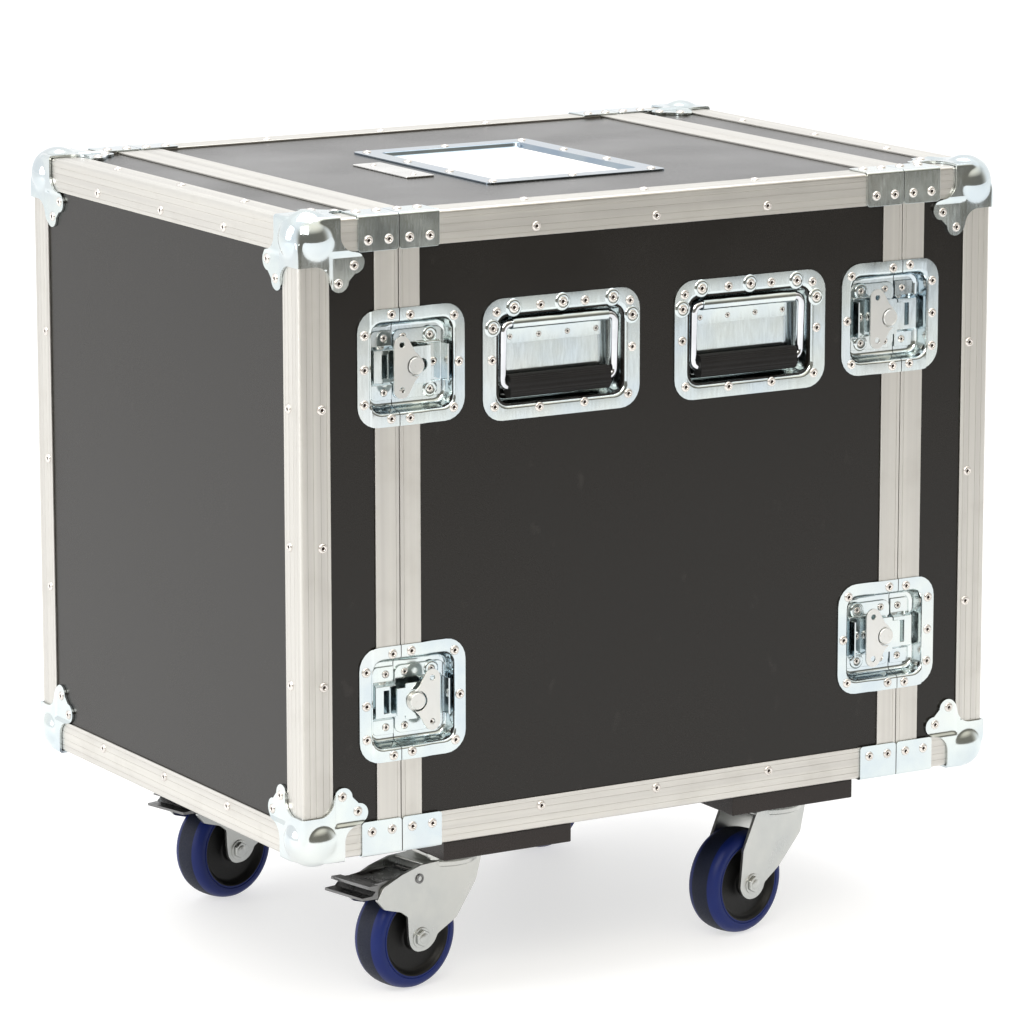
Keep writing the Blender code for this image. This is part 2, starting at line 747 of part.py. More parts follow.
def ball_corner():
    """Front top left ball corner of the lid: a ball and three leaves, each stepped down to its panel."""
    seat = PANEL_INSET - FIT_GAP
    leaf = plate(leaf_outline(), "Z", -LEAF_PROUD, seat)
    step = block(
        (ANGLE_LEG, ANGLE_LEG, -2 * LEAF_PROUD),
        (LOBE_FAR + 2 * LOBE_RADIUS, LOBE_FAR + 2 * LOBE_RADIUS, LEAF_STEP - LEAF_PROUD),
    )
    leaf = cut(leaf, step)
    turn = AXIS_FRAMES["X"]
    second = copied(leaf, turn)
    third = copied(leaf, turn @ turn)
    work = bmesh.new()
    bmesh.ops.create_uvsphere(
        work, u_segments=BALL_SEGMENTS, v_segments=BALL_SEGMENTS // 2, radius=BALL_RADIUS
    )
    bmesh.ops.translate(work, vec=(BALL_INSET,) * 3, verts=work.verts)
    ball = blank_from(work, "ball")
    inside = 2 * (BALL_INSET + BALL_RADIUS)
    ball = cut(ball, block((seat - WELD_LAP,) * 3, (inside,) * 3))
    corner = joined(leaf, second, third, ball)
    place = Matrix.Translation((-HALF_X, -HALF_Y, CASE_TOP)) @ Matrix.Diagonal((1, 1, -1, 1))
    return copied(corner, place)


def tongue_reliefs():
    """Cutters that stop the lid's tongue short of the walls of the body's latch dishes."""
    near = -SEAM_X - HALF_SEAM
    half = LATCH_RECESS_HEIGHT / 2 + DISH_SHEET + TONGUE_CLEARANCE
    reliefs = []
    for centre in LATCH_HEIGHTS.values():
        low = (near, -HALF_Y + ANGLE_WALL, centre - half)
        high = (near + 2 * TONGUE_LENGTH, -HALF_Y + INNER_LEG_DEPTH, centre + half)
        relief = block(low, high)
        reliefs.extend((relief, mirrored(relief, y=-1)))
    return together(reliefs)


def lid_frame():
    """Metal frame of the left lid: angles, tongued closing profile, braces, dish halves, ball corners."""
    key = key_points(-TONGUE_LENGTH, TONGUE_THICKNESS)
    start = -SEAM_X - HALF_SEAM
    frame = mitred_frame([(start - across, down) for across, down in closing_section(LID_LEG, key)])
    rim = mitred_frame([(across - HALF_X, down) for across, down in angle_section()])
    bar = long_edge_plate(
        angle_section(), -HALF_X + ANGLE_LEG - FIT_GAP, start - LID_LEG + FIT_GAP
    )
    brace = long_edge_plate(brace_section(FIT_GAP), start - BRACE_WIDTH, start)
    sheets, pockets, hollows = latch_halves("lid")
    reliefs = tongue_reliefs()
    frame = joined(
        frame,
        together(at_each_long_edge(bar)),
        rim,
        together(at_each_long_edge(brace)),
        pockets,
        sheets,
    )
    balls = together(at_each_long_edge(ball_corner()))
    return joined(cut(frame, hollows, reliefs), latch_keepers(), balls)


# Panels


def label_sizes(grown):
    """Low and high corners of the label dish's recess, grown by a wall or a clearance."""
    half_x = LABEL_WIDTH / 2 - LABEL_BORDER + grown
    half_y = LABEL_LENGTH / 2 - LABEL_BORDER + grown
    centre_x, centre_y = LABEL_CENTRE
    return (centre_x - half_x, centre_y - half_y), (centre_x + half_x, centre_y + half_y)


def handle_centres():
    return {side: way * HANDLE_X for side, way in SIDES.items()}


def handle_recess_outline(centre, grown):
    low = (centre - HANDLE_RECESS_WIDTH / 2 - grown, HANDLE_HEIGHT_Z - HANDLE_RECESS_BOTTOM - grown)
    high = (centre + HANDLE_RECESS_WIDTH / 2 + grown, HANDLE_HEIGHT_Z + HANDLE_RECESS_TOP + grown)
    return rounded_rectangle(low, high, RECESS_CORNER + grown, RECESS_STEPS)


def body_panels():
    """The four plywood panels of the body, the long faces standing between the top and the bottom."""
    side = HALF_Y - PANEL_INSET
    top, bottom = CASE_TOP - PANEL_INSET, CASE_BOTTOM + PANEL_INSET
    roof = block((-PANEL_END, -side, top - PANEL_THICKNESS), (PANEL_END, side, top))
    low, high = label_sizes(DISH_SHEET + FIT_GAP)
    hole = rounded_rectangle(low, high, LABEL_CORNER)
    roof = cut(roof, plate(hole, "Z", CASE_TOP - 2 * PANEL_BACK, CASE_TOP + PANEL_BACK))
    floor = block((-PANEL_END, -side, bottom), (PANEL_END, side, bottom + PANEL_THICKNESS))
    wall_low = bottom + PANEL_THICKNESS + FIT_GAP
    wall_high = top - PANEL_THICKNESS - FIT_GAP
    wall = block((-PANEL_END, -side, wall_low), (PANEL_END, PANEL_THICKNESS - side, wall_high))
    left_holes = panel_cutter_for_latches("body")
    right_holes = mirrored(left_holes, x=-1)
    wall = cut(wall, left_holes, right_holes)
    for centre in handle_centres().values():
        outline = handle_recess_outline(centre, DISH_SHEET + FIT_GAP)
        wall = cut(wall, plate(outline, "Y", -HALF_Y - PANEL_BACK, -HALF_Y + 2 * PANEL_BACK))
    finished(roof, "body_top_panel", "panel")
    finished(floor, "body_bottom_panel", "panel")
    finished(mirrored(wall, y=-1), "body_back_panel", "panel")
    finished(wall, "body_front_panel", "panel")


def lid_shell():
    """Plywood tray of the left lid, notched for the latches' lid halves."""
    side = HALF_Y - PANEL_INSET
    low, high = CASE_BOTTOM + PANEL_INSET, CASE_TOP - PANEL_INSET
    rim = -SEAM_X - HALF_SEAM - NOSE_DEPTH - FIT_GAP
    end = -HALF_X + PANEL_INSET
    wall = PANEL_THICKNESS
    shell = block((end, -side, low), (rim, side, high))
    room = block((end + wall, wall - side, low + wall), (-SEAM_X, side - wall, high - wall))
    return cut(shell, room, panel_cutter_for_latches("lid"))


# Smaller pieces of the body


def body_edge_angle():
    end = SEAM_X - HALF_SEAM - BODY_LEG - FIT_GAP
    return long_edge_plate(angle_section(), -end, end)


def rack_rail():
    """Rack rail of the front left corner: a leg on the long panel and a flange across the opening."""
    x = -SEAM_X + LATCH_RECESS_BODY + DISH_SHEET + RAIL_FROM_DISH
    y = -HALF_Y + PANEL_BACK + FIT_GAP
    outline = [
        (x, y),
        (x + RAIL_LEG, y),
        (x + RAIL_LEG, y + RAIL_WALL),
        (x + RAIL_WALL, y + RAIL_WALL),
        (x + RAIL_WALL, y + RAIL_FLANGE),
        (x, y + RAIL_FLANGE),
    ]
    low = CASE_BOTTOM + PANEL_BACK + FIT_GAP
    high = CASE_TOP - PANEL_BACK - FIT_GAP
    return plate(outline, "Z", low, high)


def label_dish():
    """Shallow dish for a label card in the top panel."""
    centre_x, centre_y = LABEL_CENTRE
    low = (centre_x - LABEL_WIDTH / 2, centre_y - LABEL_LENGTH / 2)
    high = (centre_x + LABEL_WIDTH / 2, centre_y + LABEL_LENGTH / 2)
    rim = rounded_rectangle(low, high, LABEL_CORNER)
    top = CASE_TOP - SHEET_ON_PANEL
    bottom = CASE_TOP - LABEL_DEPTH
    dish = plate(rim, "Z", top - DISH_SHEET, top)
    outer = rounded_rectangle(*label_sizes(DISH_SHEET), LABEL_CORNER)
    hollow = rounded_rectangle(*label_sizes(0), LABEL_CORNER - DISH_SHEET)
    dish = joined(dish, plate(outer, "Z", bottom - DISH_SHEET, top - DISH_SHEET / 2))
    return cut(dish, plate(hollow, "Z", bottom, top + PANEL_BACK))


def handle_dish():
    """Handle dish with the rolled hinge plate that holds the bail, made for x = 0 on the front."""
    half_x, half_z = HANDLE_WIDTH / 2, HANDLE_HEIGHT / 2
    rim = rounded_rectangle(
        (-half_x, HANDLE_HEIGHT_Z - half_z), (half_x, HANDLE_HEIGHT_Z + half_z), HANDLE_CORNER
    )
    face = -HALF_Y + SHEET_ON_PANEL
    bottom = -HALF_Y + HANDLE_RECESS_DEPTH
    dish = plate(rim, "Y", face, face + DISH_SHEET)
    outer = handle_recess_outline(0, DISH_SHEET)
    dish = joined(dish, plate(outer, "Y", face + DISH_SHEET / 2, bottom + DISH_SHEET))
    dish = cut(dish, plate(handle_recess_outline(0, 0), "Y", face - PANEL_BACK, bottom))
    axis_y = -HALF_Y + BAIL_AXIS_DEPTH
    axis_z = HANDLE_HEIGHT_Z + BAIL_AXIS_HEIGHT
    bore = BAIL_RADIUS + BORE_GAP / 2
    outside = arc((axis_y, axis_z), bore + ROLL_WALL, 0, 360, ROUND_STEPS)[:-1]
    inside = arc((axis_y, axis_z), bore, 0, 360, ROUND_STEPS)[:-1]
    reach = ROLL_HALF_LENGTH
    web = block(
        (-reach, axis_y + bore + ROLL_WALL / 2, axis_z - bore / 2),
        (reach, bottom + FIT_GAP, HANDLE_HEIGHT_Z + HANDLE_RECESS_TOP + FIT_GAP),
    )
    strip = block(
        (-reach, bottom - ROLL_WALL, axis_z - HINGE_STRIP_HEIGHT),
        (reach, bottom + FIT_GAP, axis_z),
    )
    roll = plate(outside, "X", -reach, reach)
    roll = cut(joined(roll, web), plate(inside, "X", -2 * reach, 2 * reach))
    return joined(dish, roll, strip)


def handle_bail():
    """Chromed bail with its rubber grip, folded into the dish at x = 0 on the front."""
    axis_y = -HALF_Y + BAIL_AXIS_DEPTH
    axis_z = HANDLE_HEIGHT_Z + BAIL_AXIS_HEIGHT
    low = (-BAIL_HALF_WIDTH, -BAIL_DROP)
    loop = rounded_rectangle(low, (BAIL_HALF_WIDTH, 0), BAIL_BEND)
    lean = BAIL_LEAN / BAIL_DROP
    bail = bent_bar([(a, axis_y - b * lean, axis_z + b) for a, b in loop], BAIL_RADIUS)
    grip = turned(
        [
            (0, GRIP_LENGTH / 2),
            (GRIP_HEIGHT / 2 - BAIL_RADIUS / 2, GRIP_LENGTH / 2),
            (GRIP_HEIGHT / 2, GRIP_LENGTH / 2 - BAIL_RADIUS),
            (GRIP_HEIGHT / 2, BAIL_RADIUS - GRIP_LENGTH / 2),
            (GRIP_HEIGHT / 2 - BAIL_RADIUS / 2, -GRIP_LENGTH / 2),
            (0, -GRIP_LENGTH / 2),
        ],
        ROUND_STEPS,
        "X",
    )
    flatten = Matrix.Diagonal((1, GRIP_THICKNESS / GRIP_HEIGHT, 1, 1))
    seat = Matrix.Translation((0, axis_y + BAIL_LEAN, axis_z - BAIL_DROP))
    shaped = copied(grip, seat @ flatten)
    bpy.data.objects.remove(grip, do_unlink=True)
    return joined(bail, shaped)


# Casters, made round the swivel axis at X = Y = 0 with the wheel trailing to -X


def caster_plate():
    """Top plate with the bearing head and the kingpin that carries the fork."""
    low, high = (-PLATE_X / 2, -PLATE_Y / 2), (PLATE_X / 2, PLATE_Y / 2)
    outline = rounded_rectangle(low, high, KINGPIN_RADIUS)
    top_plate = plate(outline, "Z", PLATE_BOTTOM, CASTER_HEIGHT)
    under = CROWN_BOTTOM - FIT_GAP
    head = turned(
        [
            (0, PLATE_BOTTOM + PLATE_THICKNESS / 2),
            (HEAD_RADIUS, PLATE_BOTTOM + PLATE_THICKNESS / 2),
            (HEAD_RADIUS, PLATE_BOTTOM - HEAD_HEIGHT / 2),
            (RACE_RADIUS, HEAD_BOTTOM),
            (KINGPIN_RADIUS, HEAD_BOTTOM),
            (KINGPIN_RADIUS, under),
            (KINGPIN_HEAD_RADIUS, under),
            (KINGPIN_HEAD_RADIUS, under - KINGPIN_HEAD_HEIGHT),
            (0, under - KINGPIN_HEAD_HEIGHT),
        ],
        ROUND_STEPS,
    )
    return joined(top_plate, head)


PLAIN_CHEEK = [
    (-30, 0),
    (-22, -30),
    (8, -58),
    (28, -70),
    (33, -83),
    (57, -83),
    (62, -70),
    (58, -34),
    (40, 0),
]
BRAKED_CHEEK = [
    (-30, 0),
    (-22, -26),
    (2, -57),
    (25, -68),
    (32, -81),
    (57, -81),
    (60, -64),
    (61, -46),
    (69, -40),
    (89, -34),
    (98, -24),
    (90, -13),
    (68, -5),
    (45, 0),
]


def cheek_outline(points):
    """A fork cheek as (trail, below the crown) millimetres, turned into X and Z."""
    return [(-trail * MM, CROWN_TOP + below * MM) for trail, below in points]


def caster_fork(braked):
    """Fork: crown with its ball race, two cheeks, the axle bolt and, on a braked one, the brake pin."""
    outline = cheek_outline(BRAKED_CHEEK if braked else PLAIN_CHEEK)
    cheeks = [
        plate(outline, "Y", FORK_INNER, FORK_INNER + FORK_WALL),
        plate(outline, "Y", -FORK_INNER - FORK_WALL, -FORK_INNER),
    ]
    bore = KINGPIN_RADIUS + BORE_GAP
    crown = turned(
        [
            (bore, CROWN_TOP + RACE_HEIGHT),
            (RACE_RADIUS - RACE_HEIGHT, CROWN_TOP + RACE_HEIGHT),
            (RACE_RADIUS, CROWN_TOP),
            (CROWN_RADIUS, CROWN_TOP),
            (CROWN_RADIUS, CROWN_BOTTOM),
            (bore, CROWN_BOTTOM),
        ],
        ROUND_STEPS,
        closed=True,
    )
    outer = FORK_INNER + FORK_WALL
    half = outer + AXLE_HEAD_HEIGHT
    bolt = turned(
        [
            (0, half),
            (AXLE_HEAD_RADIUS, half),
            (AXLE_HEAD_RADIUS, outer - FIT_GAP),
            (AXLE_RADIUS, outer - FIT_GAP),
            (AXLE_RADIUS, FIT_GAP - outer),
            (AXLE_HEAD_RADIUS, FIT_GAP - outer),
            (AXLE_HEAD_RADIUS, -half),
            (0, -half),
        ],
        8,
        "Y",
    )
    fork = joined(crown, together(cheeks), moved(bolt, (-CASTER_TRAIL, 0, WHEEL_RADIUS)))
    bpy.data.objects.remove(bolt, do_unlink=True)
    if braked:
        ring = arc((-BRAKE_PIN_TRAIL, BRAKE_PIN_HEIGHT), BRAKE_PIN_RADIUS, 0, 360, 8)[:-1]
        fork = joined(fork, plate(ring, "Y", -outer - ANGLE_WALL, outer + ANGLE_WALL))
    return fork


def caster_wheel():
    """Wheel round its own axle: crowned tyre, dished rim and hub."""
    half = WHEEL_WIDTH / 2
    hub = HUB_LENGTH / 2
    bore = AXLE_RADIUS + BORE_GAP / 2
    right = [
        (bore, hub),
        (HUB_RADIUS, hub),
        (HUB_RADIUS, half - RIM_RECESS),
        (RIM_RADIUS, half - RIM_RECESS),
        (RIM_RADIUS + RIM_RECESS / 2, half),
        (WHEEL_RADIUS - TYRE_SHOULDER / 2, half),
        (WHEEL_RADIUS, half - TYRE_SHOULDER),
    ]
    left = [(radius, -across) for radius, across in reversed(right)]
    return turned(right + left, WHEEL_STEPS, "Y", closed=True)


PEDAL_SIDE = [
    (-10, 0),
    (14, 0),
    (55, -6),
    (71, -5),
    (71, -2.6),
    (59, -2.6),
    (55, 1),
    (64, 4.5),
    (63, 6.9),
    (47, 6),
    (22, 7.5),
    (-8, 7.5),
]


def brake_pedal():
    """Stamped double-lip brake pedal round its pin: one side profile, wider at the two lips."""
    bottom = 2 * WHEEL_RADIUS + PEDAL_OVER_TYRE - BRAKE_PIN_HEIGHT
    outline = [(-trail * MM, bottom + up * MM) for trail, up in PEDAL_SIDE]
    pedal = plate(outline, "Y", -PEDAL_HALF_WIDTH, PEDAL_HALF_WIDTH)
    lips = plate(outline, "Y", -PEDAL_LIP_HALF_WIDTH, PEDAL_LIP_HALF_WIDTH)
    room = 2 * PEDAL_LIP_HALF_WIDTH
    keep = block((-2 * PEDAL_REACH, -room, -room), (-PEDAL_LIP_START, room, room))
    pedal = joined(pedal, common(lips, keep))
    ring = arc((0, 0), BRAKE_PIN_RADIUS + BORE_GAP, 0, 360, 8)[:-1]
    return cut(pedal, plate(ring, "Y", -room, room))


# Assembly


def place_lids_and_frames():
    for name, finish, blank in (
        ("lid_shell", "panel", lid_shell()),
        ("lid_frame", "profile", lid_frame()),
        ("body_closing_frame", "profile", body_closing_frame()),
    ):
        smooth = name == "lid_frame"
        finished(mirrored(blank, x=-1), f"{name}_right", finish, smooth=smooth)
        finished(blank, f"{name}_left", finish, smooth=smooth)


def place_body_fittings():
    angles = at_each_long_edge(body_edge_angle())
    for angle, place in zip(angles, ("front_top", "back_top", "front_bottom", "back_bottom")):
        finished(angle, f"body_edge_angle_{place}", "profile")
    rail = rack_rail()
    for face, y_way in FACES.items():
        for side, x_way in SIDES.items():
            piece = mirrored(rail, x=-x_way, y=-y_way)
            finished(piece, f"rack_rail_{side}_{face}", "zinc")
    finished(label_dish(), "label_dish", "zinc")
    inner = CASTER_X - BOARD_INSIDE_CASTER
    side = HALF_Y - BOARD_SETBACK
    board = block(
        (-inner - BOARD_WIDTH, -side, CASTER_HEIGHT + FIT_GAP),
        (-inner, side, CASTER_HEIGHT + FIT_GAP + BOARD_THICKNESS),
    )
    finished(mirrored(board, x=-1), "caster_board_right", "panel")
    finished(board, "caster_board_left", "panel")


def place_handles():
    dish, bail = handle_dish(), handle_bail()
    for face, y_way in FACES.items():
        for side, x in handle_centres().items():
            offset = Matrix.Translation((x, 0, 0)) @ Matrix.Diagonal((1, -y_way, 1, 1))
            axis = (x, y_way * (HALF_Y - BAIL_AXIS_DEPTH), HANDLE_HEIGHT_Z + BAIL_AXIS_HEIGHT)
            finished(copied(dish, offset), f"handle_dish_{face}_{side}", "zinc")
            finished(copied(bail, offset), f"handle_bail_{face}_{side}", "chrome", axis, smooth=True)


def place_latches():
    wing, hook = latch_wing(), latch_hook()
    for face, y_way in FACES.items():
        for side, x_way in SIDES.items():
            for level, height in LATCH_HEIGHTS.items():
                spindle = Vector((x_way * (SEAM_X - SPINDLE_FROM_SEAM), y_way * HALF_Y, height))
                turned_back = (face, side, level) == ("front", "left", "upper")
                place = Matrix.Translation(spindle) @ Matrix.Diagonal((-x_way, -y_way, 1, 1))
                turn = 0 if turned_back else math.pi
                where = f"{face}_{side}_{level}"
                turned_wing = copied(wing, place @ Matrix.Rotation(turn, 4, "Y"))
                placed_hook = copied(hook, place)
                finished(turned_wing, f"latch_wing_{where}", "zinc", spindle, smooth=True)
                finished(placed_hook, f"latch_hook_{where}", "zinc", spindle)


def place_casters():
    top, wheel, pedal = caster_plate(), caster_wheel(), brake_pedal()
    forks = {"left": caster_fork(braked=True), "right": caster_fork(braked=False)}
    for face, y_way in FACES.items():
        for side, x_way in SIDES.items():
            where = f"{face}_{side}"
            centre = (x_way * CASTER_X, y_way * CASTER_Y, 0)
            finished(moved(top, centre), f"caster_plate_{where}", "zinc", centre, smooth=True)
            blank = copied(forks[side], Matrix.Identity(4))
            fork = finished(blank, f"caster_fork_{where}", "zinc", smooth=True)
            fork.location = centre
            fork.rotation_euler.z = REST_SWIVEL[where]
            axle = (-CASTER_TRAIL, 0, WHEEL_RADIUS)
            tyre = finished(moved(wheel, axle), f"caster_wheel_{where}", "tyre", axle, smooth=True)
            tyre.parent = fork
            if side == "left":
                pin = (-BRAKE_PIN_TRAIL, 0, BRAKE_PIN_HEIGHT)
                lever = finished(moved(pedal, pin), f"brake_pedal_{where}", "pedal", pin)
                lever.parent = fork


place_lids_and_frames()
place_body_fittings()
body_panels()
place_handles()
place_latches()
place_casters()
for leftover in list(BENCH.objects):
    bpy.data.objects.remove(leftover, do_unlink=True)
bpy.context.view_layer.update()
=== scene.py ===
"""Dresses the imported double-door flight case: finishes, pressed fittings, rivets and the studio round it.

Lengths are metres, written as millimetres times MM. X runs along the long side, the front is at -Y, and the
floor is at Z = 0 under the middle of the case. On a face, "depth" is measured inwards from the case's outer
box, and "seam" distances run from the joint between a lid and the body towards the middle of the case.
"""

import logging
import math
from collections.abc import Callable, Iterable, Sequence
from dataclasses import dataclass, field
from enum import Enum
from itertools import product

import bpy
from mathutils import Matrix, Vector


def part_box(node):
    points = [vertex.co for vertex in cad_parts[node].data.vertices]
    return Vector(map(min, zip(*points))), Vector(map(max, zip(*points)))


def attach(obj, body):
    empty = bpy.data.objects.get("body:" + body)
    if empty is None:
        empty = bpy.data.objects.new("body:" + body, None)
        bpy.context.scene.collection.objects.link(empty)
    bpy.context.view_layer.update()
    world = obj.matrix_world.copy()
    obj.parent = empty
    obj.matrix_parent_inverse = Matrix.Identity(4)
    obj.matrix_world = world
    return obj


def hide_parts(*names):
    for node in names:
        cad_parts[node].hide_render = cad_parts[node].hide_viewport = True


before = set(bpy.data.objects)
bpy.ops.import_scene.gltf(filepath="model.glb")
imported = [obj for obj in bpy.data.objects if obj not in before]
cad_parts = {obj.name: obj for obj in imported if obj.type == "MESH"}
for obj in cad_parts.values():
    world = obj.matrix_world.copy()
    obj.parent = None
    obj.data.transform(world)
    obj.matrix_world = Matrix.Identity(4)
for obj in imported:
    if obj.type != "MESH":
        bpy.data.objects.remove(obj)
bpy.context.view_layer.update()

MM = 0.001
UP = Vector((0, 0, 1))
FRONTWARD = Vector((0, -1, 0))
LOG = logging.getLogger("flight_case")

Point = Sequence[float]
Flat = tuple[float, float]
Test = Callable[[Vector, Vector], bool]
Piece = bpy.types.Object
Material = bpy.types.Material
Socket = bpy.types.NodeSocket


class Named(Enum):
    """Place on the case whose name is part of node and body names."""

    @property
    def word(self) -> str:
        """Its name in small letters."""
        return self.name.lower()


class Side(Named):
    """End of the case, with its direction along X."""

    LEFT = -1
    RIGHT = 1


class Face(Named):
    """Long face of the case, with its direction along Y."""

    FRONT = -1
    BACK = 1


class Level(Named):
    """Height of a latch on its face."""

    UPPER = 1
    LOWER = -1


class Lay(Enum):
    """Direction of the drawing lines of a metal bar."""

    ALONG_X = 0
    ALONG_Y = 1
    ALONG_Z = 2


@dataclass(frozen=True)
class CaseSizes:
    """Outer sizes of the case that every fitting is set out from."""

    half_x: float = 367.5 * MM
    half_y: float = 263 * MM
    bottom: float = 151.6 * MM
    top: float = 725.1 * MM
    seam_x: float = 268.2 * MM
    half_seam: float = 0.4 * MM
    angle_leg: float = 30 * MM
    angle_wall: float = 1.5 * MM
    angle_radius: float = 3 * MM
    panel_face: float = 1.8 * MM

    @property
    def middle(self) -> float:
        """Height of the case's middle."""
        return (self.top + self.bottom) / 2

    @property
    def half_z(self) -> float:
        """Half of the case's height."""
        return (self.top - self.bottom) / 2


CASE = CaseSizes()


def in_mm(points: Iterable[Point]) -> list[tuple[float, ...]]:
    """Points given in millimetres, as metres."""
    return [tuple(number * MM for number in point) for point in points]


def arc(centre: Point, radius: float, start: float, end: float, steps: int) -> list[Flat]:
    """Points of a flat arc from one angle to another in degrees, both ends included."""
    turns = [math.radians(start + (end - start) * i / steps) for i in range(steps + 1)]
    return [(centre[0] + radius * math.cos(t), centre[1] + radius * math.sin(t)) for t in turns]


def mirror(x: int = 1, y: int = 1, z: int = 1) -> Matrix:
    """Mirrors about the middle of the case, in height about its mid height."""
    lift = Matrix.Translation((0, 0, CASE.middle))
    return lift @ Matrix.Diagonal((x, y, z, 1)) @ lift.inverted()


def four_long_edges() -> dict[str, Matrix]:
    """Mirrors that take a front top piece to each long edge.

    Returns:
        Each edge by its name, with the move that takes the front top one there.
    """
    return {
        "front_top": mirror(),
        "back_top": mirror(y=-1),
        "front_bottom": mirror(z=-1),
        "back_bottom": mirror(y=-1, z=-1),
    }


class Workbench:
    """Modelling steps done as by hand, one piece at a time."""

    def clear(self) -> None:
        """Leaves edit mode and deselects every object."""
        if bpy.context.mode != "OBJECT":
            self.leave()
        bpy.ops.object.select_all(action="DESELECT")

    def hold(self, piece: Piece) -> None:
        """Makes a piece the only one selected.

        Args:
            piece: The piece.
        """
        self.clear()
        piece.select_set(True)
        bpy.context.view_layer.objects.active = piece

    def enter(self) -> None:
        """Starts editing the held piece."""
        bpy.ops.object.mode_set(mode="EDIT")

    def enter_whole(self) -> None:
        """Starts editing the held piece with all of it selected."""
        self.enter()
        bpy.ops.mesh.select_all(action="SELECT")

    def leave(self) -> None:
        """Ends editing."""
        bpy.ops.object.mode_set(mode="OBJECT")

    def discard(self, *pieces: Piece) -> None:
        """Throws away masters and tools."""
        for piece in pieces:
            bpy.data.objects.remove(piece, do_unlink=True)

    def settle(self, name: str) -> Piece:
        """Names the new primitive and puts its place and scale into its mesh.

        Args:
            name: Name of the piece.

        Returns:
            The piece.
        """
        piece = bpy.context.active_object
        piece.name = name
        bpy.ops.object.transform_apply(location=True, rotation=True, scale=True)
        return piece

    def block(self, name: str, low: Point, high: Point) -> Piece:
        """Adds a box.

        Args:
            name: Name of the piece.
            low: Its lowest corner.
            high: Its highest corner.

        Returns:
            The box.
        """
        self.clear()
        low, high = Vector(low), Vector(high)
        bpy.ops.mesh.primitive_cube_add(size=1, location=(low + high) / 2, scale=high - low)
        return self.settle(name)

    def rod(self, name: str, start: Point, end: Point, radius: float, sides: int) -> Piece:
        """Adds a cylinder.

        Args:
            name: Name of the piece.
            start: Centre of one end.
            end: Centre of the other end.
            radius: Radius in metres.
            sides: Number of its sides.

        Returns:
            The cylinder.
        """
        self.clear()
        start, end = Vector(start), Vector(end)
        turn = (end - start).to_track_quat("Z", "Y").to_euler()
        length, middle = (end - start).length, (start + end) / 2
        bpy.ops.mesh.primitive_cylinder_add(
            vertices=sides, radius=radius, depth=length, location=middle, rotation=turn
        )
        return self.settle(name)

    def rounded_plane(self, low: Point, high: Point, height: float, radius: float, steps: int) -> None:
        """Adds a level plane in the piece being edited, rounds its corners and keeps only its edge.

        Args:
            low: Lowest X and Y.
            high: Highest X and Y.
            height: Z of the plane.
            radius: Corner radius.
            steps: Segments of each corner.
        """
        middle = ((low[0] + high[0]) / 2, (low[1] + high[1]) / 2, height)
        bpy.ops.mesh.primitive_plane_add(size=1, location=middle)
        width, depth = high[0] - low[0], high[1] - low[1]
        bpy.ops.transform.resize(value=(width, depth, 1), center_override=middle)
        bpy.ops.mesh.bevel(offset=radius, segments=steps, affect="VERTICES")
        bpy.ops.mesh.delete(type="ONLY_FACE")

    def drawn(self, name: str, points: Sequence[Point]) -> Piece:
        """Draws a line: a plane merged to one point, which is then extruded from corner to corner.

        Args:
            name: Name of the piece.
            points: Corners in order, in metres.

        Returns:
            The piece, still in edit mode with all of it selected.
        """
        self.clear()
        bpy.ops.mesh.primitive_plane_add(size=MM, location=points[0])
        piece = self.settle(name)
        self.enter()
        bpy.ops.mesh.select_mode(type="VERT")
        bpy.ops.mesh.merge(type="CENTER")
        here = Vector(points[0])
        for point in points[1:]:
            there = Vector(point)
            bpy.ops.mesh.extrude_vertices_move(TRANSFORM_OT_translate={"value": there - here})
            here = there
        bpy.ops.mesh.select_all(action="SELECT")
        return piece

    def cut_sheet(self, name: str, outline: Sequence[Point], start: float, thickness: float) -> Piece:
        """Cuts a sheet to a closed outline, lying level, and gives it its thickness upwards.

        Args:
            name: Name of the piece.
            outline: Corners as (x, y), in order.
            start: Height of its lower face.
            thickness: Thickness of the sheet.

        Returns:
            The closed sheet.
        """
        piece = self.drawn(name, [(x, y, start) for x, y in outline])
        bpy.ops.mesh.edge_face_add()
        bpy.ops.mesh.extrude_region_move(TRANSFORM_OT_translate={"value": (0, 0, thickness)})
        self.outward()
        return piece

    def turned(self, name: str, profile: Sequence[Point], steps: int, closed: bool = False) -> Piece:
        """Spins a profile a full turn about Z.

        Args:
            name: Name of the piece.
            profile: Points of the half section from the bottom up, as (radius, height) in millimetres.
            steps: Steps of the turn.
            closed: Whether the section closes on itself, as a ring's does.

        Returns:
            The closed piece.
        """
        points = [(radius, 0, height) for radius, height in in_mm(profile)]
        piece = self.drawn(name, points + points[: int(closed)])
        bpy.ops.mesh.spin(steps=steps, angle=2 * math.pi, center=(0, 0, 0), axis=(0, 0, 1))
        self.outward()
        return piece

    def outward(self) -> None:
        """Merges doubles and turns every face of the piece in edit mode outwards, then leaves edit mode."""
        bpy.ops.mesh.select_all(action="SELECT")
        bpy.ops.mesh.remove_doubles(threshold=0.001 * MM)
        bpy.ops.mesh.normals_make_consistent(inside=False)
        self.leave()

    def pick(self, kind: str, parts: str, chosen: Sequence[bool]) -> None:
        """Starts editing the held piece with only some of its parts selected.

        Args:
            kind: Selection mode: "VERT", "EDGE" or "FACE".
            parts: Name of the mesh's list of them.
            chosen: Whether each of them is selected.
        """
        self.enter()
        bpy.ops.mesh.select_mode(type=kind)
        bpy.ops.mesh.select_all(action="DESELECT")
        self.leave()
        for part, wanted in zip(getattr(bpy.context.active_object.data, parts), chosen):
            part.select = wanted
        self.enter()

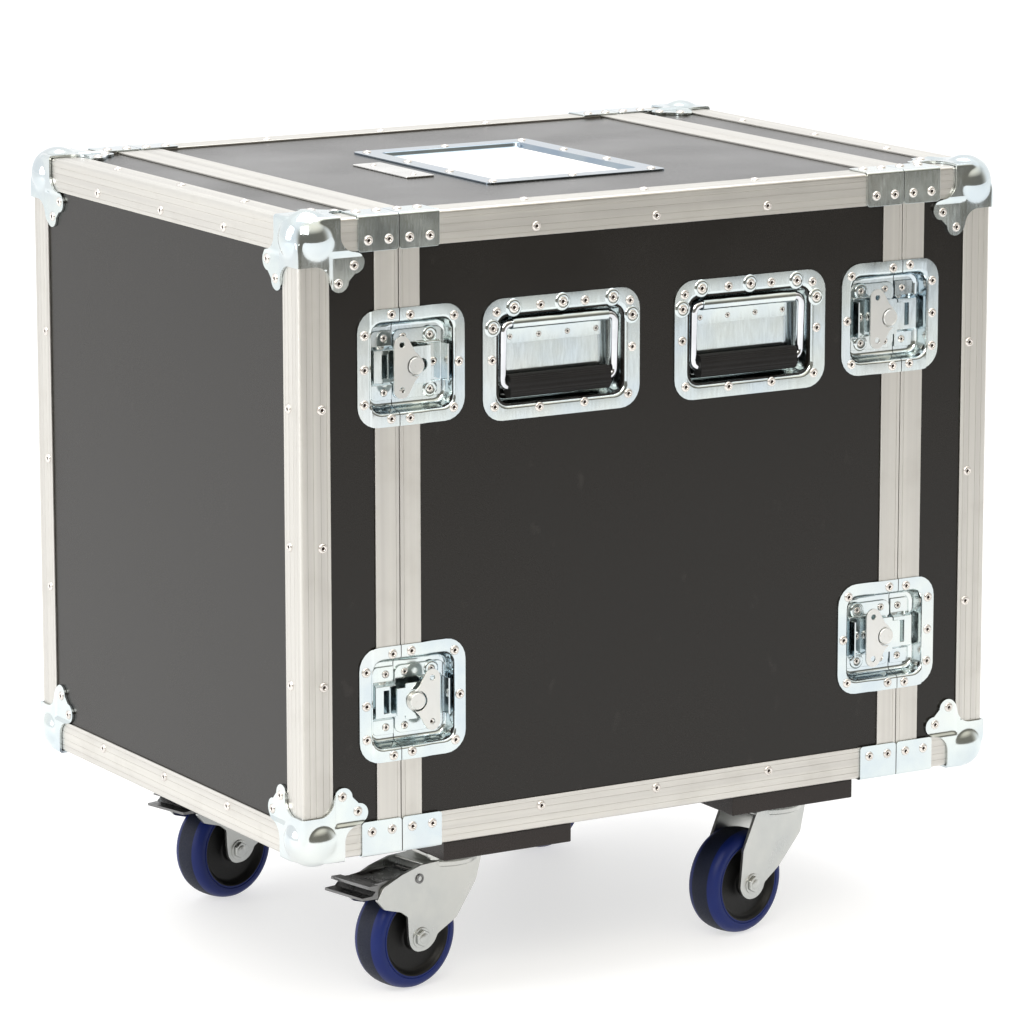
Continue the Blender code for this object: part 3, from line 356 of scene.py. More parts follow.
    def pick_faces(self, piece: Piece, test: Test) -> None:
        """Starts editing a piece with the faces selected whose centre and normal pass a test."""
        self.hold(piece)
        self.pick("FACE", "polygons", [test(face.center, face.normal) for face in piece.data.polygons])

    def pick_points(self, piece: Piece, test: Callable[[Vector], bool]) -> None:
        """Starts editing a piece with the points selected that pass a test."""
        self.hold(piece)
        self.pick("VERT", "vertices", [test(vert.co) for vert in piece.data.vertices])

    def pick_edges(self, piece: Piece, test: Test) -> None:
        """Starts editing a piece with the edges selected whose two ends pass a test.

        Args:
            piece: The piece.
            test: Test of the two ends.
        """
        self.hold(piece)
        ends = [[piece.data.vertices[i].co for i in edge.vertices] for edge in piece.data.edges]
        self.pick("EDGE", "edges", [test(*pair) for pair in ends])

    def round_edges(self, piece: Piece, test: Test, width: float, segments: int, clamp: bool = False) -> None:
        """Rounds the edges whose two ends pass a test.

        Args:
            piece: The piece.
            test: Test of the two ends.
            width: Width of the rounding.
            segments: Its segments.
            clamp: Whether roundings stop where they would meet.
        """
        self.pick_edges(piece, test)
        bpy.ops.mesh.bevel(offset=width, segments=segments, clamp_overlap=clamp)
        self.leave()

    def slice(self, piece: Piece, x: float, keep: str = "both") -> None:
        """Cuts a piece along a plane across X.

        Args:
            piece: The piece to cut.
            x: X of the plane.
            keep: "both" parts, or the one in "front" of the plane or "behind" it.
        """
        self.hold(piece)
        self.enter_whole()
        front, behind = keep == "front", keep == "behind"
        plane = {"plane_co": (x, 0, 0), "plane_no": (1, 0, 0), "threshold": 0.001 * MM}
        bpy.ops.mesh.bisect(**plane, clear_inner=front, clear_outer=behind)
        self.leave()

    def apply(self, piece: Piece, kind: str, **settings: float | str | bool | Piece) -> None:
        """Gives a piece a modifier and applies it.

        Args:
            piece: The piece.
            kind: Kind of the modifier.
            settings: Its settings.
        """
        modifier = piece.modifiers.new("step", kind)
        for name, value in settings.items():
            setattr(modifier, name, value)
        self.hold(piece)
        bpy.ops.object.modifier_apply(modifier=modifier.name)

    def thicken(self, piece: Piece, thickness: float) -> None:
        """Gives an open skin its wall, behind its faces."""
        self.apply(piece, "SOLIDIFY", thickness=thickness, offset=-1, use_even_offset=True)

    def soften(self, piece: Piece, width: float, segments: int, angle: float = 40) -> None:
        """Rounds the edges that are sharper than an angle in degrees."""
        limit = math.radians(angle)
        self.apply(piece, "BEVEL", width=width, segments=segments, limit_method="ANGLE", angle_limit=limit)

    def carve(self, piece: Piece, tool: Piece, operation: str = "DIFFERENCE") -> None:
        """Cuts a tool out of a piece, or joins it on, and throws the tool away."""
        self.apply(piece, "BOOLEAN", operation=operation, object=tool)
        self.discard(tool)

    def bore(self, piece: Piece, start: Point, end: Point, radius: float, sides: int) -> None:
        """Drills a round hole between two points."""
        self.carve(piece, self.rod("drill", start, end, radius, sides))

    def smooth(self, piece: Piece, angle: float) -> None:
        """Shades a piece smooth, with edges sharper than an angle in degrees left crisp."""
        self.hold(piece)
        bpy.ops.object.shade_smooth_by_angle(angle=math.radians(angle))

    def level_shading(self, piece: Piece) -> None:
        """Keeps flat faces evenly shaded beside their rounded edges."""
        self.apply(piece, "WEIGHTED_NORMAL", keep_sharp=True)

    def place(self, piece: Piece, matrix: Matrix) -> Piece:
        """Moves, turns or mirrors a piece, with its place in its mesh.

        Args:
            piece: The piece.
            matrix: The move.

        Returns:
            The piece.
        """
        self.hold(piece)
        piece.matrix_world = matrix @ piece.matrix_world
        bpy.ops.object.transform_apply(location=True, rotation=True, scale=True)
        if matrix.determinant() < 0:
            self.enter()
            self.outward()
        return piece

    def copy(self, piece: Piece, name: str, matrix: Matrix | None = None) -> Piece:
        """Copies a piece with its own mesh.

        Args:
            piece: The piece to copy.
            name: Name of the copy.
            matrix: Moves, turns or mirrors the copy.

        Returns:
            The copy.
        """
        self.hold(piece)
        bpy.ops.object.duplicate()
        made = bpy.context.active_object
        made.name = name
        return self.place(made, matrix) if matrix else made

    def join(self, name: str, pieces: Sequence[Piece]) -> Piece:
        """Joins pieces into one object.

        Args:
            name: Name of the joined piece.
            pieces: The pieces.

        Returns:
            The joined piece.
        """
        self.clear()
        for piece in pieces:
            piece.select_set(True)
        bpy.context.view_layer.objects.active = pieces[0]
        bpy.ops.object.join()
        pieces[0].name = name
        return pieces[0]

    def dress(self, piece: Piece, material: Material) -> Piece:
        """Gives a whole piece one finish.

        Args:
            piece: The piece.
            material: Its material.

        Returns:
            The piece.
        """
        piece.data.materials.clear()
        piece.data.materials.append(material)
        return piece

    def finish(self, piece: Piece, material: Material, smooth: float, *edge: float) -> Piece:
        """Rounds a piece's edges where asked, shades it smooth and gives it its finish.

        Args:
            piece: The piece.
            material: Its finish.
            smooth: Angle in degrees above which an edge is left crisp.
            edge: Width, segments and least angle of the rounding, or nothing.

        Returns:
            The piece.
        """
        if edge:
            self.soften(piece, *edge)
        self.smooth(piece, smooth)
        return self.dress(piece, material)

    def paint(self, piece: Piece, material: Material, test: Test) -> None:
        """Gives some faces another finish.

        Args:
            piece: The piece.
            material: Their finish.
            test: Test of a face's centre and normal.
        """
        piece.data.materials.append(material)
        for polygon in piece.data.polygons:
            if test(polygon.center, polygon.normal):
                polygon.material_index = len(piece.data.materials) - 1


BENCH = Workbench()


class Wiring:
    """Adds nodes to a node tree."""

    def __init__(self, tree: bpy.types.NodeTree) -> None:
        """Takes up a tree."""
        self.nodes = tree.nodes
        self.links = tree.links

    def node(
        self, kind: str, output: str, inputs: dict[str | int, Socket | float | Point], **settings: str
    ) -> Socket:
        """Adds a node.

        Args:
            kind: Its kind, without the words that all kinds begin with.
            output: Name of the output to use.
            inputs: What to wire to, or set on, each input.
            settings: Its other settings.

        Returns:
            The output.
        """
        node = self.nodes.new(f"ShaderNode{kind}")
        for name, value in settings.items():
            setattr(node, name, value)
        for name, value in inputs.items():
            if isinstance(value, Socket):
                self.links.new(value, node.inputs[name])
            else:
                node.inputs[name].default_value = value
        return node.outputs[output]

    def band(
        self, value: Socket, start: float, end: float, low: float, high: float, **settings: str
    ) -> Socket:
        """Maps a value from the range start to end onto low to high, held at both ends."""
        inputs = {"Value": value, "From Min": start, "From Max": end, "To Min": low, "To Max": high}
        return self.node("MapRange", "Result", inputs, **settings)

    def tint(self, amount: Socket, low: Socket | Point, high: Point) -> Socket:
        """Colour between two, by an amount from 0 to 1."""
        under = low if isinstance(low, Socket) else (*low, 1)
        return self.node("Mix", "Result", {"Factor": amount, "A": under, "B": (*high, 1)}, data_type="RGBA")


class Recipe(Wiring):
    """Shader nodes of one finish, wired from the piece's Object coordinates."""

    def __init__(self, name: str) -> None:
        """Starts a material with its Principled shader.

        Args:
            name: Name of the material.
        """
        self.material = bpy.data.materials.new(name)
        self.material.use_nodes = True
        super().__init__(self.material.node_tree)
        self.shader = self.nodes["Principled BSDF"]
        self.at = self.nodes.new("ShaderNodeTexCoord").outputs["Object"]

    def stretch(self, scale: Point) -> Socket:
        """Object coordinates scaled along each axis."""
        return self.node("Mapping", "Vector", {"Scale": scale, "Vector": self.at})

    def noise(self, vector: Socket, scale: float, detail: float) -> Socket:
        """Noise between 0 and 1 over some coordinates."""
        return self.node("TexNoise", "Fac", {"Scale": scale, "Detail": detail, "Vector": vector})

    def cells(self, scale: float) -> Socket:
        """Distance to the nearest of scattered points."""
        return self.node("TexVoronoi", "Distance", {"Scale": scale, "Vector": self.at})

    def sum(self, first: Socket, second: Socket) -> Socket:
        """Sum of two values."""
        return self.node("Math", "Value", {0: first, 1: second})

    def relief(self, height: Socket, depth: float, strength: float) -> None:
        """Raises the surface, over any relief that it has already.

        Args:
            height: The height, from 0 to 1.
            depth: Full height in metres.
            strength: Strength of the relief.
        """
        normal = self.shader.inputs["Normal"]
        inputs = {"Distance": depth, "Strength": strength, "Height": height}
        if normal.is_linked:
            inputs["Normal"] = normal.links[0].from_socket
        self.links.new(self.node("Bump", "Normal", inputs), normal)

    def colour(self, value: Socket) -> None:
        """Wires the shader's colour."""
        self.links.new(value, self.shader.inputs["Base Color"])

    def rough(self, value: Socket, spread: Flat, fine: Socket) -> None:
        """Wires the shader's roughness: a spread by one value, with a second one added."""
        total = self.sum(self.band(value, 0.3, 0.7, *spread), fine)
        self.links.new(total, self.shader.inputs["Roughness"])

    def made(self, socket: str, number: float) -> Material:
        """Sets one constant of the shader and gives the finished material."""
        self.shader.inputs[socket].default_value = number
        return self.material


@dataclass(frozen=True)
class PhenolicPly:
    """Dark brown phenolic film over plywood, with a fine pressed grain and handling marks."""

    name: str = "phenolic_ply"
    film: Point = (0.0075, 0.0062, 0.0048)
    pale: Point = (0.012, 0.0102, 0.0085)
    mark: Point = (0.035, 0.032, 0.029)
    roughness: Flat = (0.19, 0.29)
    specular: float = 0.34
    grain: float = 900
    grain_depth: float = 0.05 * MM

    def material(self) -> Material:
        """Builds the finish.

        Returns:
            The material.
        """
        recipe = Recipe(self.name)
        clouds = recipe.noise(recipe.at, 7, 5)
        grain = recipe.noise(recipe.at, self.grain, 2)
        film = recipe.tint(recipe.band(clouds, 0.35, 0.7, 0, 0.55), self.film, self.pale)
        scuffs = recipe.noise(recipe.stretch((14, 70, 9)), 3, 8)
        worn = recipe.tint(recipe.band(scuffs, 0.66, 0.74, 0, 0.3), film, self.mark)
        recipe.colour(recipe.tint(recipe.band(recipe.cells(420), 0.09, 0.05, 0, 0.35), worn, self.mark))
        recipe.rough(clouds, self.roughness, recipe.band(grain, 0.3, 0.7, -0.05, 0.05))
        recipe.relief(grain, self.grain_depth, 0.6)
        return recipe.made("Specular IOR Level", self.specular)


@dataclass(frozen=True)
class DrawnAluminium:
    """Pale anodised aluminium profile, with drawing lines along its length."""

    lay: Lay
    pale: Point = (0.69, 0.675, 0.635)
    shade: Point = (0.60, 0.585, 0.555)
    handled: Point = (0.45, 0.43, 0.395)
    roughness: Flat = (0.3, 0.46)

    def along(self, recipe: Recipe, scale: float, length: float, detail: float) -> Socket:
        """Noise drawn out along the bar: scale across it, length along it.

        Args:
            recipe: The material being made.
            scale: Scale across the bar.
            length: Scale along it.
            detail: Detail of the noise.

        Returns:
            The streaks.
        """
        scales = [scale] * 3
        scales[self.lay.value] = length
        return recipe.noise(recipe.stretch(scales), 1, detail)

    def material(self) -> Material:
        """Builds the finish.

        Returns:
            The material.
        """
        recipe = Recipe(f"drawn_aluminium_{self.lay.name.lower()}")
        lines = self.along(recipe, 1400, 6, 3)
        bands = self.along(recipe, 140, 1.5, 2)
        dust = recipe.noise(recipe.at, 28, 6)
        metal = recipe.tint(recipe.band(bands, 0.3, 0.7, 0, 1), self.shade, self.pale)
        recipe.colour(recipe.tint(recipe.band(dust, 0.55, 0.8, 0, 0.25), metal, self.handled))
        recipe.rough(lines, self.roughness, recipe.band(dust, 0.4, 0.75, 0, 0.08))
        recipe.relief(recipe.sum(lines, bands), 0.03 * MM, 0.5)
        return recipe.made("Metallic", 1)


@dataclass(frozen=True)
class BrightZinc:
    """Zinc plate with a cool passivated tint, slightly cloudy."""

    name: str = "bright_zinc"
    pale: Point = (0.70, 0.76, 0.75)
    warm: Point = (0.75, 0.765, 0.74)
    deep: Point = (0.57, 0.645, 0.69)
    roughness: Flat = (0.08, 0.17)
    ripple: float = 0.12 * MM

    def material(self) -> Material:
        """Builds the finish.

        Returns:
            The material.
        """
        recipe = Recipe(self.name)
        clouds = recipe.noise(recipe.at, 22, 4)
        drift = recipe.noise(recipe.at, 9, 3)
        plate = recipe.tint(recipe.band(clouds, 0.35, 0.65, 0, 1), self.deep, self.pale)
        recipe.colour(recipe.tint(recipe.band(drift, 0.5, 0.72, 0, 0.7), plate, self.warm))
        fine = recipe.noise(recipe.stretch((600, 600, 80)), 1, 3)
        recipe.rough(clouds, self.roughness, recipe.band(fine, 0.3, 0.7, -0.03, 0.03))
        recipe.relief(drift, self.ripple, 0.5)
        recipe.relief(fine, 0.01 * MM, 0.3)
        return recipe.made("Metallic", 1)


@dataclass(frozen=True)
class PlainMetal:
    """Small hardware metal with faint turning marks."""

    name: str
    pale: Point
    roughness: Flat
    scale: float = 300
    darker: float = 0.78

    def material(self) -> Material:
        """Builds the finish.

        Returns:
            The material.
        """
        recipe = Recipe(self.name)
        marks = recipe.noise(recipe.at, self.scale, 4)
        clouds = recipe.noise(recipe.at, 30, 3)
        deep = [self.darker * part for part in self.pale]
        recipe.colour(recipe.tint(recipe.band(clouds, 0.3, 0.7, 0, 1), deep, self.pale))
        recipe.links.new(recipe.band(marks, 0.3, 0.7, *self.roughness), recipe.shader.inputs["Roughness"])
        recipe.relief(marks, 0.01 * MM, 0.4)
        return recipe.made("Metallic", 1)


@dataclass(frozen=True)
class Moulded:
    """Moulded rubber or plastic, with a fine skin and a little dust."""

    name: str
    deep: Point
    dusty: Point
    roughness: Flat
    specular: float = 0.28

    def material(self) -> Material:
        """Builds the finish.

        Returns:
            The material.
        """
        recipe = Recipe(self.name)
        skin = recipe.noise(recipe.at, 700, 3)
        dust = recipe.noise(recipe.at, 24, 6)
        recipe.colour(recipe.tint(recipe.band(dust, 0.45, 0.8, 0, 0.8), self.deep, self.dusty))
        recipe.rough(skin, self.roughness, recipe.band(dust, 0.4, 0.8, 0, 0.12))
        recipe.relief(skin, 0.04 * MM, 0.5)
        return recipe.made("Specular IOR Level", self.specular)


class Finishes:
    """All finishes of the case, each made once."""

    def __init__(self) -> None:
        """Builds every material."""
        painted = PhenolicPly("painted_board", film=(0.012, 0.008, 0.0065), pale=(0.017, 0.012, 0.010))
        satin = BrightZinc(
            "satin_zinc", (0.78, 0.78, 0.75), (0.80, 0.79, 0.76), (0.72, 0.73, 0.72), (0.32, 0.44), 0.03 * MM
        )
        fork = BrightZinc(
            "fork_zinc", (0.56, 0.57, 0.55), (0.60, 0.60, 0.57), (0.46, 0.475, 0.47), (0.24, 0.38), 0.25 * MM
        )
        label = BrightZinc("label_zinc", (0.36, 0.425, 0.475), (0.41, 0.45, 0.48), (0.29, 0.36, 0.44))
        self.panel = PhenolicPly().material()
        self.board = painted.material()
        self.profile = {lay: DrawnAluminium(lay).material() for lay in Lay}
        self.zinc = BrightZinc().material()
        self.satin = satin.material()
        self.fork = fork.material()
        self.label_zinc = label.material()
        self.rivet = PlainMetal("rivet_steel", (0.84, 0.80, 0.76), (0.2, 0.34)).material()
        # Near-black painted shade for each rivet's shallow bore, standing in for the shade inside a tubular
        # rivet's deep hole.
        self.rivet_core = PlainMetal("rivet_core", (0.05, 0.035, 0.03), (0.4, 0.6)).material()
        self.chrome = PlainMetal("chromed_bail", (0.80, 0.82, 0.86), (0.05, 0.14), 80).material()
        self.pedal = PlainMetal("dark_plated_pedal", (0.21, 0.21, 0.21), (0.22, 0.4), 120).material()
        self.plate = PlainMetal("bare_plate", (0.86, 0.85, 0.83), (0.22, 0.34), 500).material()
        self.rail = PlainMetal("rack_rail_steel", (0.55, 0.57, 0.60), (0.28, 0.42), 400).material()
        self.grip = Moulded(
            "grip_rubber", (0.005, 0.0045, 0.0045), (0.013, 0.012, 0.012), (0.42, 0.6)
        ).material()
        self.tyre = Moulded("blue_tyre", (0.003, 0.012, 0.105), (0.006, 0.02, 0.14), (0.36, 0.5)).material()
        self.tread = Moulded(
            "dark_tread", (0.005, 0.008, 0.022), (0.012, 0.016, 0.034), (0.45, 0.65)
        ).material()
        self.rim = Moulded("wheel_rim", (0.003, 0.003, 0.003), (0.008, 0.008, 0.008), (0.32, 0.5)).material()
        self.card = Moulded("label_card", (0.80, 0.80, 0.79), (0.88, 0.88, 0.87), (0.5, 0.65)).material()


STAND_X = Matrix(((0, 0, 1, 0), (1, 0, 0, 0), (0, 1, 0, 0), (0, 0, 0, 1)))
STAND_Y = Matrix(((1, 0, 0, 0), (0, 0, 1, 0), (0, 1, 0, 0), (0, 0, 0, 1)))
THREE_FACES = (Matrix.Identity(4), STAND_X, STAND_X @ STAND_X)


def folded(points: Sequence[Point], thickness: float) -> list[Flat]:
    """Closed outline of a sheet bent along a line, with its thickness on the line's right.

    Args:
        points: The line's corners in order.
        thickness: Sheet thickness.

    Returns:
        The outline: the line itself, then its other side in reverse.
    """
    line = [Vector(point) for point in points]
    ways = [(b - a).normalized() for a, b in zip(line, line[1:])]
    sides = [Vector((way.y, -way.x)) for way in ways]
    other = []
    for i, point in enumerate(line):
        first, last = sides[max(i - 1, 0)], sides[min(i, len(sides) - 1)]
        middle = (first + last).normalized()
        other.append(point + middle * (thickness / middle.dot(first)))
    return [tuple(point) for point in line + other[::-1]]


def face_rounded(low: Point, high: Point, radius: float, steps: int) -> list[Flat]:
    """Outline of a rectangle with rounded corners, counterclockwise from its right side.

    Args:
        low: Lowest corner.
        high: Highest corner.
        radius: Radius of the corners.
        steps: Steps of each corner.

    Returns:
        The outline.
    """
    (left, bottom), (right, top) = low, high
    return (
        arc((right - radius, top - radius), radius, 0, 90, steps)
        + arc((left + radius, top - radius), radius, 90, 180, steps)
        + arc((left + radius, bottom + radius), radius, 180, 270, steps)
        + arc((right - radius, bottom + radius), radius, 270, 360, steps)
    )


class Rivets:
    """Tubular rivets, set one by one and joined into one piece for each body they ride on."""

    bore: float = 1.4 * MM
    bore_floor: float = 0.2 * MM

    def __init__(self, finishes: Finishes) -> None:
        """Turns the master rivet, standing on Z = 0.

        Args:
            finishes: Finishes of the case.
        """
        profile = [(0, 0.3), (1.2, 0.3), (1.45, 0.9), (2.0, 1.45), (2.8, 1.6), (3.7, 1.25)]
        profile += [(4.4, 0.6), (4.6, 0), (4.6, -0.3), (0, -0.3)]
        self.master = BENCH.finish(BENCH.turned("rivet_master", profile, 14), finishes.rivet, 50)
        # The bore's floor and lower wall are painted near black: painted shade for the hole of a tubular
        # rivet.
        bore_shade = finishes.rivet_core
        BENCH.paint(self.master, bore_shade, lambda at, out: at.xy.length < self.bore and at.z > self.bore_floor)
        self.places: dict[str, list[Matrix]] = {}

    def add(self, body: str, matrix: Matrix, at: Point, out: Point, size: float = 1) -> None:
        """Sets a rivet on a body.

        Args:
            body: Body that the rivet rides on.
            matrix: Takes the place and the direction to where the fitting sits.
            at: Point on the surface under its head.
            out: Direction that its head faces.
            size: Scale of the head.
        """
        turn = (matrix.to_3x3() @ Vector(out)).to_track_quat("Z", "Y").to_matrix().to_4x4()
        place = Matrix.Translation(matrix @ Vector(at)) @ turn @ Matrix.Scale(size, 4)
        self.places.setdefault(body, []).append(place)

    def build(self) -> None:
        """Copies the master to every place, and joins what rides together."""
        for body, places in self.places.items():
            copies = [BENCH.copy(self.master, "rivet_copy", matrix) for matrix in places]
            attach(BENCH.join(f"rivets_{body}", copies), body)
            LOG.info("set %d rivets on %s", len(places), body)
        BENCH.discard(self.master)


@dataclass
class Fitting:
    """Base of every sub-assembly: the finishes it is dressed with and the rivets it sets."""

    finishes: Finishes
    rivets: Rivets

    def stands_for(self, piece: Piece, body: str, *nodes: str) -> None:
        """Puts a piece on its body.

        Args:
            piece: The piece.
            body: The body that it rides on.
            nodes: CAD nodes that it takes the place of.
        """
        BENCH.level_shading(piece)
        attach(piece, body)
        if nodes:
            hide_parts(*nodes)
        LOG.info("built %s on %s", piece.name, body)

    def put(self, master: Piece, name: str, matrix: Matrix, body: str, *nodes: str) -> None:
        """Copies a master to its place, and puts the copy on its body for some CAD nodes."""
        self.stands_for(BENCH.copy(master, name, matrix), body, *nodes)


@dataclass
class Panels(Fitting):
    """Phenolic plywood of the body and the lids, and the plain finish under each fitting."""

    def dress(self) -> None:
        """Gives every CAD node the finish that its name calls for."""
        finishes = self.finishes
        words = {
            "panel": finishes.panel,
            "lid_shell": finishes.panel,
            "board": finishes.board,
            "rack_rail": finishes.rail,
            "caster_wheel": finishes.tyre,
            "pedal": finishes.pedal,
            "bail": finishes.chrome,
            "frame": finishes.profile[Lay.ALONG_Z],
            "angle": finishes.profile[Lay.ALONG_Z],
        }
        for name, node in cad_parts.items():
            fitting = [material for word, material in words.items() if word in name]
            BENCH.dress(node, fitting[0] if fitting else finishes.zinc)
            LOG.info("dressed %s", name)


@dataclass
class LidShells(Fitting):
    """The lids' plywood, with the points cut off that lie inside the ball corners."""

    trim: float = 8 * MM

    def build(self) -> None:
        """Builds both shells from copies of the CAD's own."""
        outer = Vector((CASE.half_x, CASE.half_y, CASE.half_z)) - Vector((CASE.panel_face,) * 3)

        def outermost(at: Vector) -> bool:
            """Whether a point is one of the shell's four outer corners."""
            return (Vector((abs(at.x), abs(at.y), abs(at.z - CASE.middle))) - outer).length < 0.1 * MM

        for side in Side:
            node = f"lid_shell_{side.word}"
            shell = BENCH.copy(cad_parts[node], f"lid_panels_{side.word}")
            BENCH.enter_whole()
            bpy.ops.mesh.remove_doubles(threshold=0.01 * MM)
            BENCH.pick_points(shell, outermost)
            bpy.ops.mesh.bevel(offset=self.trim, segments=1, affect="VERTICES")
            BENCH.leave()
            self.stands_for(BENCH.dress(shell, self.finishes.panel), f"lid_{side.word}", node)


@dataclass
class EdgeAngles(Fitting):
    """Drawn angle bars along the edges of the body and of both lids."""

    grooves: tuple[float, ...] = (26.5 * MM, 20.5 * MM, 13 * MM, 7 * MM)
    groove_width: float = 0.5 * MM
    groove_depth: float = 0.28 * MM
    corner_room: float = 30 * MM
    body_leg: float = 20.8 * MM
    lid_leg: float = 24 * MM
    gap: float = 0.3 * MM
    rivet_inset: float = 21.5 * MM
    rivet_rows: dict[str, Point] = field(
        default_factory=lambda: {
            "top": (-126, 2, 124),
            "bottom": (-133, -7, 118),
            "front": (-119.75, 3.25, 128.25),
            "back": (-119.75, 3.25, 128.25),
        }
    )

    def half_section(self) -> list[Flat]:
        """Outer face of one leg, from its free edge to the fold, as (from the fold, depth).

        Returns:
            The points of one leg.
        """
        leg, ease = CASE.angle_leg, 0.3 * MM
        points = [(leg, CASE.angle_wall), (leg, ease), (leg - ease, 0)]
        for start in self.grooves:
            sink = self.groove_depth / 2
            points += [(start, 0), (start - sink, self.groove_depth)]
            points += [(start - self.groove_width + sink, self.groove_depth), (start - self.groove_width, 0)]
        return points

    def bar(self, name: str, start: float, end: float) -> Piece:
        """Makes a bar along X at the front top edge.

        Args:
            name: Name of the bar.
            start: X of its left end.
            end: X of its right end.

        Returns:
            The bar.
        """
        leg = self.half_section()
        fold = arc((CASE.angle_radius, CASE.angle_radius), CASE.angle_radius, 270, 180, 6)
        inner = (CASE.angle_wall, CASE.angle_wall)
        section = leg + fold + [(depth, away) for away, depth in reversed(leg)] + [inner]
        outline = [(-CASE.half_y + across, CASE.top - down) for across, down in section]
        piece = BENCH.cut_sheet(name, outline, start, end - start)
        BENCH.place(piece, STAND_X)
        return BENCH.dress(piece, self.finishes.profile[Lay.ALONG_X])

    def put_bar(self, bar: Piece, name: str, lay: Lay, matrix: Matrix, body: str, node: str) -> None:
        """Copies a bar to its place, with the drawing lines of its direction and a smooth fold."""
        piece = BENCH.finish(BENCH.copy(bar, name, matrix), self.finishes.profile[lay], 25)
        self.stands_for(piece, body, node)

    def leg_rivets(self, body: str, edge: Matrix, along: float) -> None:
        """Sets a rivet on each leg of a front top bar, then takes both to another edge.

        Args:
            body: Body that the bar rides on.
            edge: Takes the front top bar to its edge.
            along: Place of the rivets along the bar.
        """
        matrix = edge @ Matrix.Translation((along, 0, 0))
        self.rivets.add(body, matrix, (0, -CASE.half_y, CASE.top - self.rivet_inset), FRONTWARD)
        self.rivets.add(body, matrix, (0, self.rivet_inset - CASE.half_y, CASE.top), UP)

    def body_bars(self) -> None:
        """Places the four bars of the body and their rivets."""
        end = CASE.seam_x - CASE.half_seam - self.body_leg - self.gap
        bar = self.bar("edge_angle_master", -end, end)
        for where, edge in four_long_edges().items():
            node = f"body_edge_angle_{where}"
            self.put_bar(bar, f"edge_angle_{where}", Lay.ALONG_X, edge, "body", node)
            for x in (-127.6, -1.7, 117.8) if "top" in where else (-122.4, 1.1, 124.5):
                self.leg_rivets("body", edge, x * MM)
        BENCH.discard(bar)

    def lid_bars(self, side: Side) -> None:
        """Places a lid's short long-edge bars and the frame of its end.

        Args:
            side: The lid's end of the case.
        """
        flip = mirror(x=-side.value)
        body, shift = f"lid_{side.word}", CASE.half_y - CASE.half_x
        end = -CASE.seam_x - CASE.half_seam - self.lid_leg - self.gap
        across, up = CASE.half_y - self.corner_room, CASE.half_z - self.corner_room
        level = Matrix(((0, 1, 0, shift), (-1, 0, 0, 0), (0, 0, 1, 0), (0, 0, 0, 1)))
        upright = Matrix(
            ((0, 1, 0, shift), (0, 0, -1, CASE.top - CASE.half_y), (-1, 0, 0, CASE.middle), (0, 0, 0, 1))
        )
        level_ways = {"top": mirror(), "bottom": mirror(z=-1)}
        upright_ways = {"front": mirror(), "back": mirror(y=-1)}
        for lay, word, start, end, turn, ways in (
            (Lay.ALONG_X, "bar", self.corner_room - CASE.half_x, end, Matrix.Identity(4), four_long_edges()),
            (Lay.ALONG_Y, "end_bar", -across, across, level, level_ways),
            (Lay.ALONG_Z, "upright", -up, up, upright, upright_ways),
        ):
            bar = self.bar("lid_bar", start, end)
            for where, way in ways.items():
                edge = flip @ way @ turn
                self.put_bar(bar, f"{body}_{word}_{where}", lay, edge, body, f"lid_frame_{side.word}")
                for along in self.rivet_rows.get(where, ()):
                    self.leg_rivets(body, edge, along * MM)
            BENCH.discard(bar)

    def build(self) -> None:
        """Builds all bars."""
        self.body_bars()
        for side in Side:
            self.lid_bars(side)


